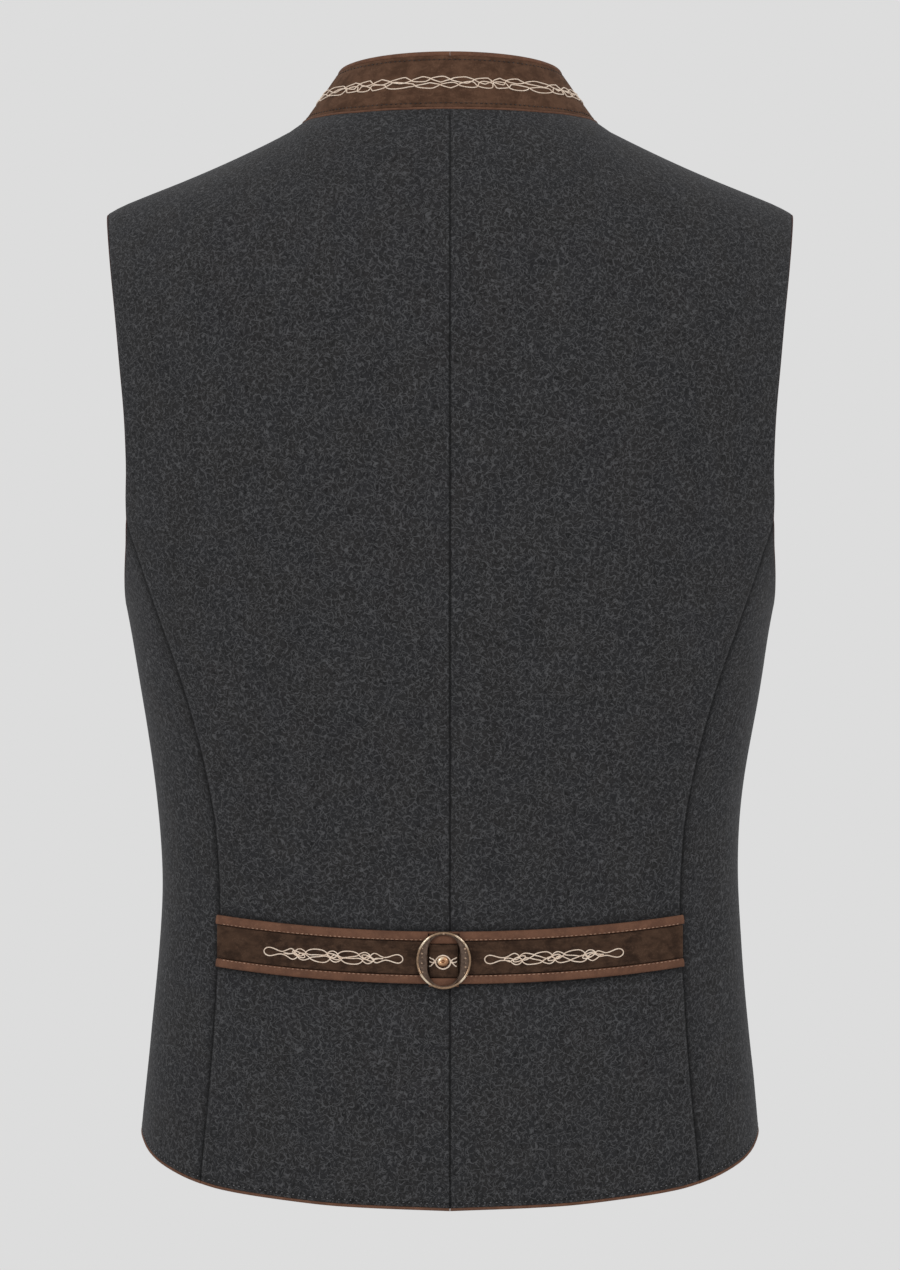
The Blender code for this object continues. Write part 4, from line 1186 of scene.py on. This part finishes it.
finishes["rim"] = metalFinish("antique_brass_painted_highlights", shade(0.36, 0.24, 0.155), shade(0.2, 0.13, 0.084),
                              0.14, 0.42, 0.08, rimHighlights)
turns = np.linspace(0, 2 * math.pi, 121)
cosine, sine = np.cos(turns), np.sin(turns)
outerReach = 1 / np.hypot(cosine / (buckle["halfWidth"] - 0.8), sine / (buckle["halfHeight"] - 0.8))
holeReach = (abs(cosine / buckle["holeHalfWidth"]) ** buckle["holePower"]
             + abs(sine / buckle["holeHalfHeight"]) ** buckle["holePower"]) ** (-1 / buckle["holePower"])
shares = np.linspace(0, 1, 9)
reach = mixed(holeReach[:, None], outerReach[:, None], shares[None, :])
lift = buckle["thickness"] * 0.75 - 0.25 * np.sin(math.pi * shares) + 0.2 * (1 - shares) ** 6
wing = gridShape(onRing(reach * cosine[:, None], reach * sine[:, None], np.broadcast_to(lift, reach.shape)))
bmesh.ops.remove_doubles(wing, verts=wing.verts, dist=0.01 * mm)
facesOutward(wing, buckle["z"])
addPiece("ringWings", wing, "wing", ["ring_buckle"], recalc=False, mergeAt=0.001,
         modifiers=[("SOLIDIFY", {"thickness": buckle["wall"] * mm, "offset": -1.0}),
                    ("BEVEL", {"width": buckle["bevel"] * mm, "segments": 2, "limit_method": "ANGLE"})])
turns = turns[:-1]
rimX = (buckle["halfWidth"] - buckle["rim"]) * np.cos(turns)
rimOver = (buckle["halfHeight"] - buckle["rim"]) * np.sin(turns)
path = onRing(rimX, rimOver, np.full(120, 0.75))
rimNormal = np.tile(ringNormal, (120, 1))
addPiece("ringRim", threadShape(path, rimNormal, buckle["rim"], 12, closed=True), "rim")
beads = bmesh.new()
turned = Matrix((Vector(ringAcross), Vector(-ringUp), Vector(ringNormal))).transposed().to_4x4()
for side in (1, -1):
    for number in range(buckle["beads"]):
        share = 2 * number / (buckle["beads"] - 1) - 1
        over = buckle["beadSpan"] * share + 0.35 * math.sin(number * 2.3 + side)
        x = side * (buckle["beadX"] - 0.5 * (over / buckle["beadSpan"]) ** 2 + 0.12 * math.sin(number * 1.7))
        centre = onRing(x, over, 0.82)
        size = buckle["beadRadius"] * (0.85 + 0.25 * math.sin(number * 3.1 + side))
        flattened = Matrix.Diagonal((size * mm, size * mm, size * 0.6 * mm, 1))
        bmesh.ops.create_icosphere(beads, subdivisions=2, radius=1,
                                   matrix=Matrix.Translation(Vector(centre) * mm) @ turned @ flattened)
joint = onRing(0.0, buckle["halfHeight"] - 1.7 * buckle["rim"], 0.9)
bmesh.ops.create_icosphere(beads, subdivisions=2, radius=0.75 * mm,
                           matrix=Matrix.Translation(Vector(joint) * mm))
addPiece("ringBeads", beads, "bead", mergeAt=0.001)

rivet = {"profile": [(0, 0), (2.3, 0), (2.9, 0.3), (2.95, 0.6), (2.75, 1.05), (2.4, 1.4), (2.0, 1.66),
                     (1.6, 1.78), (1.25, 1.74), (1.0, 1.55), (0.75, 1.22), (0.45, 0.98), (0, 0.92)], "stretch": 1.15,
         "right": 0.4, "down": 0.5, "loopWide": 4.15, "loopTall": 3.8, "loopDown": 1.5,
         "loopRadius": 0.42, "endRadius": 0.36, "endBends": ((1.15, 0.0), (0.1, 1.9), (-0.8, 0.8))}


# A profile of radius and height, turned round and stood on a point
def turnedShape(profile, steps, point, normal, stretch=1.0):
    bm = bmesh.new()
    verts = [bm.verts.new((radius * mm, 0, height * mm)) for radius, height in profile]
    edges = [bm.edges.new(pair) for pair in zip(verts, verts[1:])]
    bmesh.ops.spin(bm, geom=verts + edges, cent=(0, 0, 0), axis=(0, 0, 1), angle=2 * math.pi, steps=steps,
                   use_merge=True)
    bmesh.ops.scale(bm, vec=(stretch, 1, 1), verts=bm.verts)
    turn = Vector(normal).to_track_quat("Z", "Y").to_matrix().to_4x4()
    bmesh.ops.transform(bm, matrix=Matrix.Translation(Vector(point) * mm) @ turn, verts=bm.verts)
    return bm


rivetSeat = belt["gap"] + bridge["arch"] + bridge["thickness"]
rivetPoint = ringBase + ringNormal * (rivetSeat + 0.1) + ringAcross * rivet["right"] - ringUp * rivet["down"]


def rivetShading(f, color):
    # painted shade in its hollow and on one side, and a painted highlight on the other side
    right, up = stepsFrom(f, rivetPoint)
    far = f.root(right * right + up * up)
    color = f.blend((1 - f.between(right + up, -3.2, 1.2)) * 0.75, color, shade(0.2, 0.09, 0.05))
    color = f.blend(f.between(right + up, 0.9, 3.0) * 0.7, color, shade(0.98, 0.86, 0.66))
    return f.blend((1 - f.between(far, 0.5, 1.15)) * 0.85, color, shade(0.2, 0.09, 0.045))


finishes["copper"] = metalFinish("copper_polished", shade(0.78, 0.47, 0.27), shade(0.6, 0.33, 0.18),
                                 0.14, 0.4, 0.05, rivetShading)
cap = turnedShape(rivet["profile"], 36, rivetPoint, ringNormal, rivet["stretch"])
addPiece("rivetCap", cap, "copper", ["belt_rivet"],
         modifiers=[("SUBSURF", {"levels": 1, "render_levels": 1})])

# Thread round the rivet, with its crossed ends on both sides
loops = bmesh.new()
turns = np.linspace(0, 2 * math.pi, 61)[:-1]
loopX = buckle["x"] + rivet["right"] + rivet["loopWide"] * np.sign(np.cos(turns)) * abs(np.cos(turns)) ** 1.15
loopMiddle = -1.0 + bridge["drop"] - rivet["loopDown"]
loopOver = loopMiddle + rivet["loopTall"] * np.sin(turns)
path, normal = onBridge(loopX, loopOver, bridge["thickness"] + 0.35)
threadShape(path, normal, rivet["loopRadius"], 8, closed=True, bm=loops)
for side in (1, -1):
    for bend, seed in rivet["endBends"]:
        t = np.linspace(0, 1, 24)
        x = buckle["x"] + rivet["right"] + side * (4.2 + 3.5 * t)
        over = loopMiddle + bend * (0.3 + 2.4 * t ** 1.1) + 0.35 * np.sin(t * 5 + seed)
        path, normal = onBridge(x, over, bridge["thickness"] + 0.3 + 0.1 * np.sin(t * 6))
        threadShape(path, normal, rivet["endRadius"], 7, bm=loops)
addPiece("rivetLoop", loops, "thread", mergeAt=0.001)
print("buckle made")

# Buttons down the front, with buttonholes beside them
button = {
    "count": 7, "top": -94.0, "spacing": 78.0, "segments": 40,
    "profile": [(0, 0), (2.6, 0), (2.6, 1.2), (3.4, 1.3), (8.1, 1.4), (8.75, 1.55), (9.0, 1.95), (8.85, 2.35),
                (8.35, 2.6), (7.7, 2.62), (7.3, 2.5), (7.0, 2.62), (6.4, 3.05), (5.2, 3.55), (3.6, 3.9),
                (1.8, 4.08), (0, 4.12)],
    "holeLength": 22.0, "holeShift": -4.0, "holeStitch": (0.9, 1.1, 0.8), "seat": 2.8,
}


def frontMiddle(x, z):
    x, z = pair(x, z)
    angle = math.pi - x / body["sections"][-1][3]
    if float(np.max(z)) <= chestZ:
        return skin(angle, riseOf(z))
    return skin(angle, halved(np.zeros(z.shape), np.ones(z.shape), lambda rise: skin(angle, rise)[..., 2] < z))


holes = bmesh.new()
for number in range(button["count"]):
    z = button["top"] - button["spacing"] * number
    point, normal = placed(frontMiddle, 0.0, z, 0.1)
    shape = turnedShape(button["profile"], button["segments"], point + normal * button["seat"], normal)
    addPiece("button" + str(number + 1), shape, "brass", ["button_" + str(number + 1)])
    turns = np.linspace(0, 2 * math.pi, 60)
    holeX = button["holeShift"] + (button["holeLength"] / 2) * np.cos(turns)
    path, normals = placed(frontMiddle, holeX, z + 1.1 * np.sin(turns), 0.1)
    stitchRow(holes, path + normals * 2.5, normals, *button["holeStitch"])
addPiece("buttonholeStitches", holes, "greyThread", mergeAt=0.001)
print("buttons made")

# Pale floor far below the hem, fading out before its edge
floorSettings = {"z": -0.95, "radius": 1.5, "fade": (0.55, 1.455), "color": shade(0.78, 0.78, 0.78)}
disc = bmesh.new()
bmesh.ops.create_circle(disc, cap_ends=True, segments=96, radius=floorSettings["radius"])
bmesh.ops.translate(disc, vec=(0, 0, floorSettings["z"]), verts=disc.verts)
floor = newObject("floor", meshOf("floor", disc))
f = Finish("pale_floor", {"Base Color": floorSettings["color"], "Roughness": 0.9, "Specular IOR Level": 0.1})
x, y = f.coordinates()[:2]
f.feed(f.shader.inputs["Alpha"], 1 - f.between(f.root(x * x + y * y), *floorSettings["fade"]))
floor.data.materials.append(f.material)
floor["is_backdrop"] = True

# Soft studio light round a pale room
studio = {"ground": 0.723, "strength": 1.0, "target": (0, 0, -0.4), "lampSize": 0.6}
world = bpy.data.worlds.new("studio")
bpy.context.scene.world = world
world.use_nodes = True
background = world.node_tree.nodes["Background"]
background.inputs["Color"].default_value = shade(studio["ground"], studio["ground"], studio["ground"])
background.inputs["Strength"].default_value = studio["strength"]


def addLight(name, place, power):
    lamp = bpy.data.lights.new(name, "AREA")
    lamp.shape, lamp.energy = "RECTANGLE", power
    lamp.size = lamp.size_y = studio["lampSize"]
    holder = newObject(name, lamp)
    holder.location = place
    holder.rotation_euler = (Vector(studio["target"]) - Vector(place)).to_track_quat("-Z", "Y").to_euler()


addLight("keyLight", (1.6, 2.4, 0.9), 11.0)
addLight("fillLight", (-1.7, 2.4, 0.8), 7.0)

# Camera behind the vest, where the photograph was taken from
view = {"place": (0.0, 3.0, -0.297), "lens": 146.0, "sensor": 36.0}
lens = bpy.data.cameras.new("photoCamera")
lens.lens, lens.sensor_width, lens.clip_end = view["lens"], view["sensor"], 50.0
camera = newObject("photoCamera", lens)
camera.location = view["place"]
camera.rotation_euler = (math.radians(90), 0, math.radians(180))
bpy.context.scene.camera = camera
bpy.context.scene.view_settings.view_transform = "Standard"

low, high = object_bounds()
print("lights and camera set")
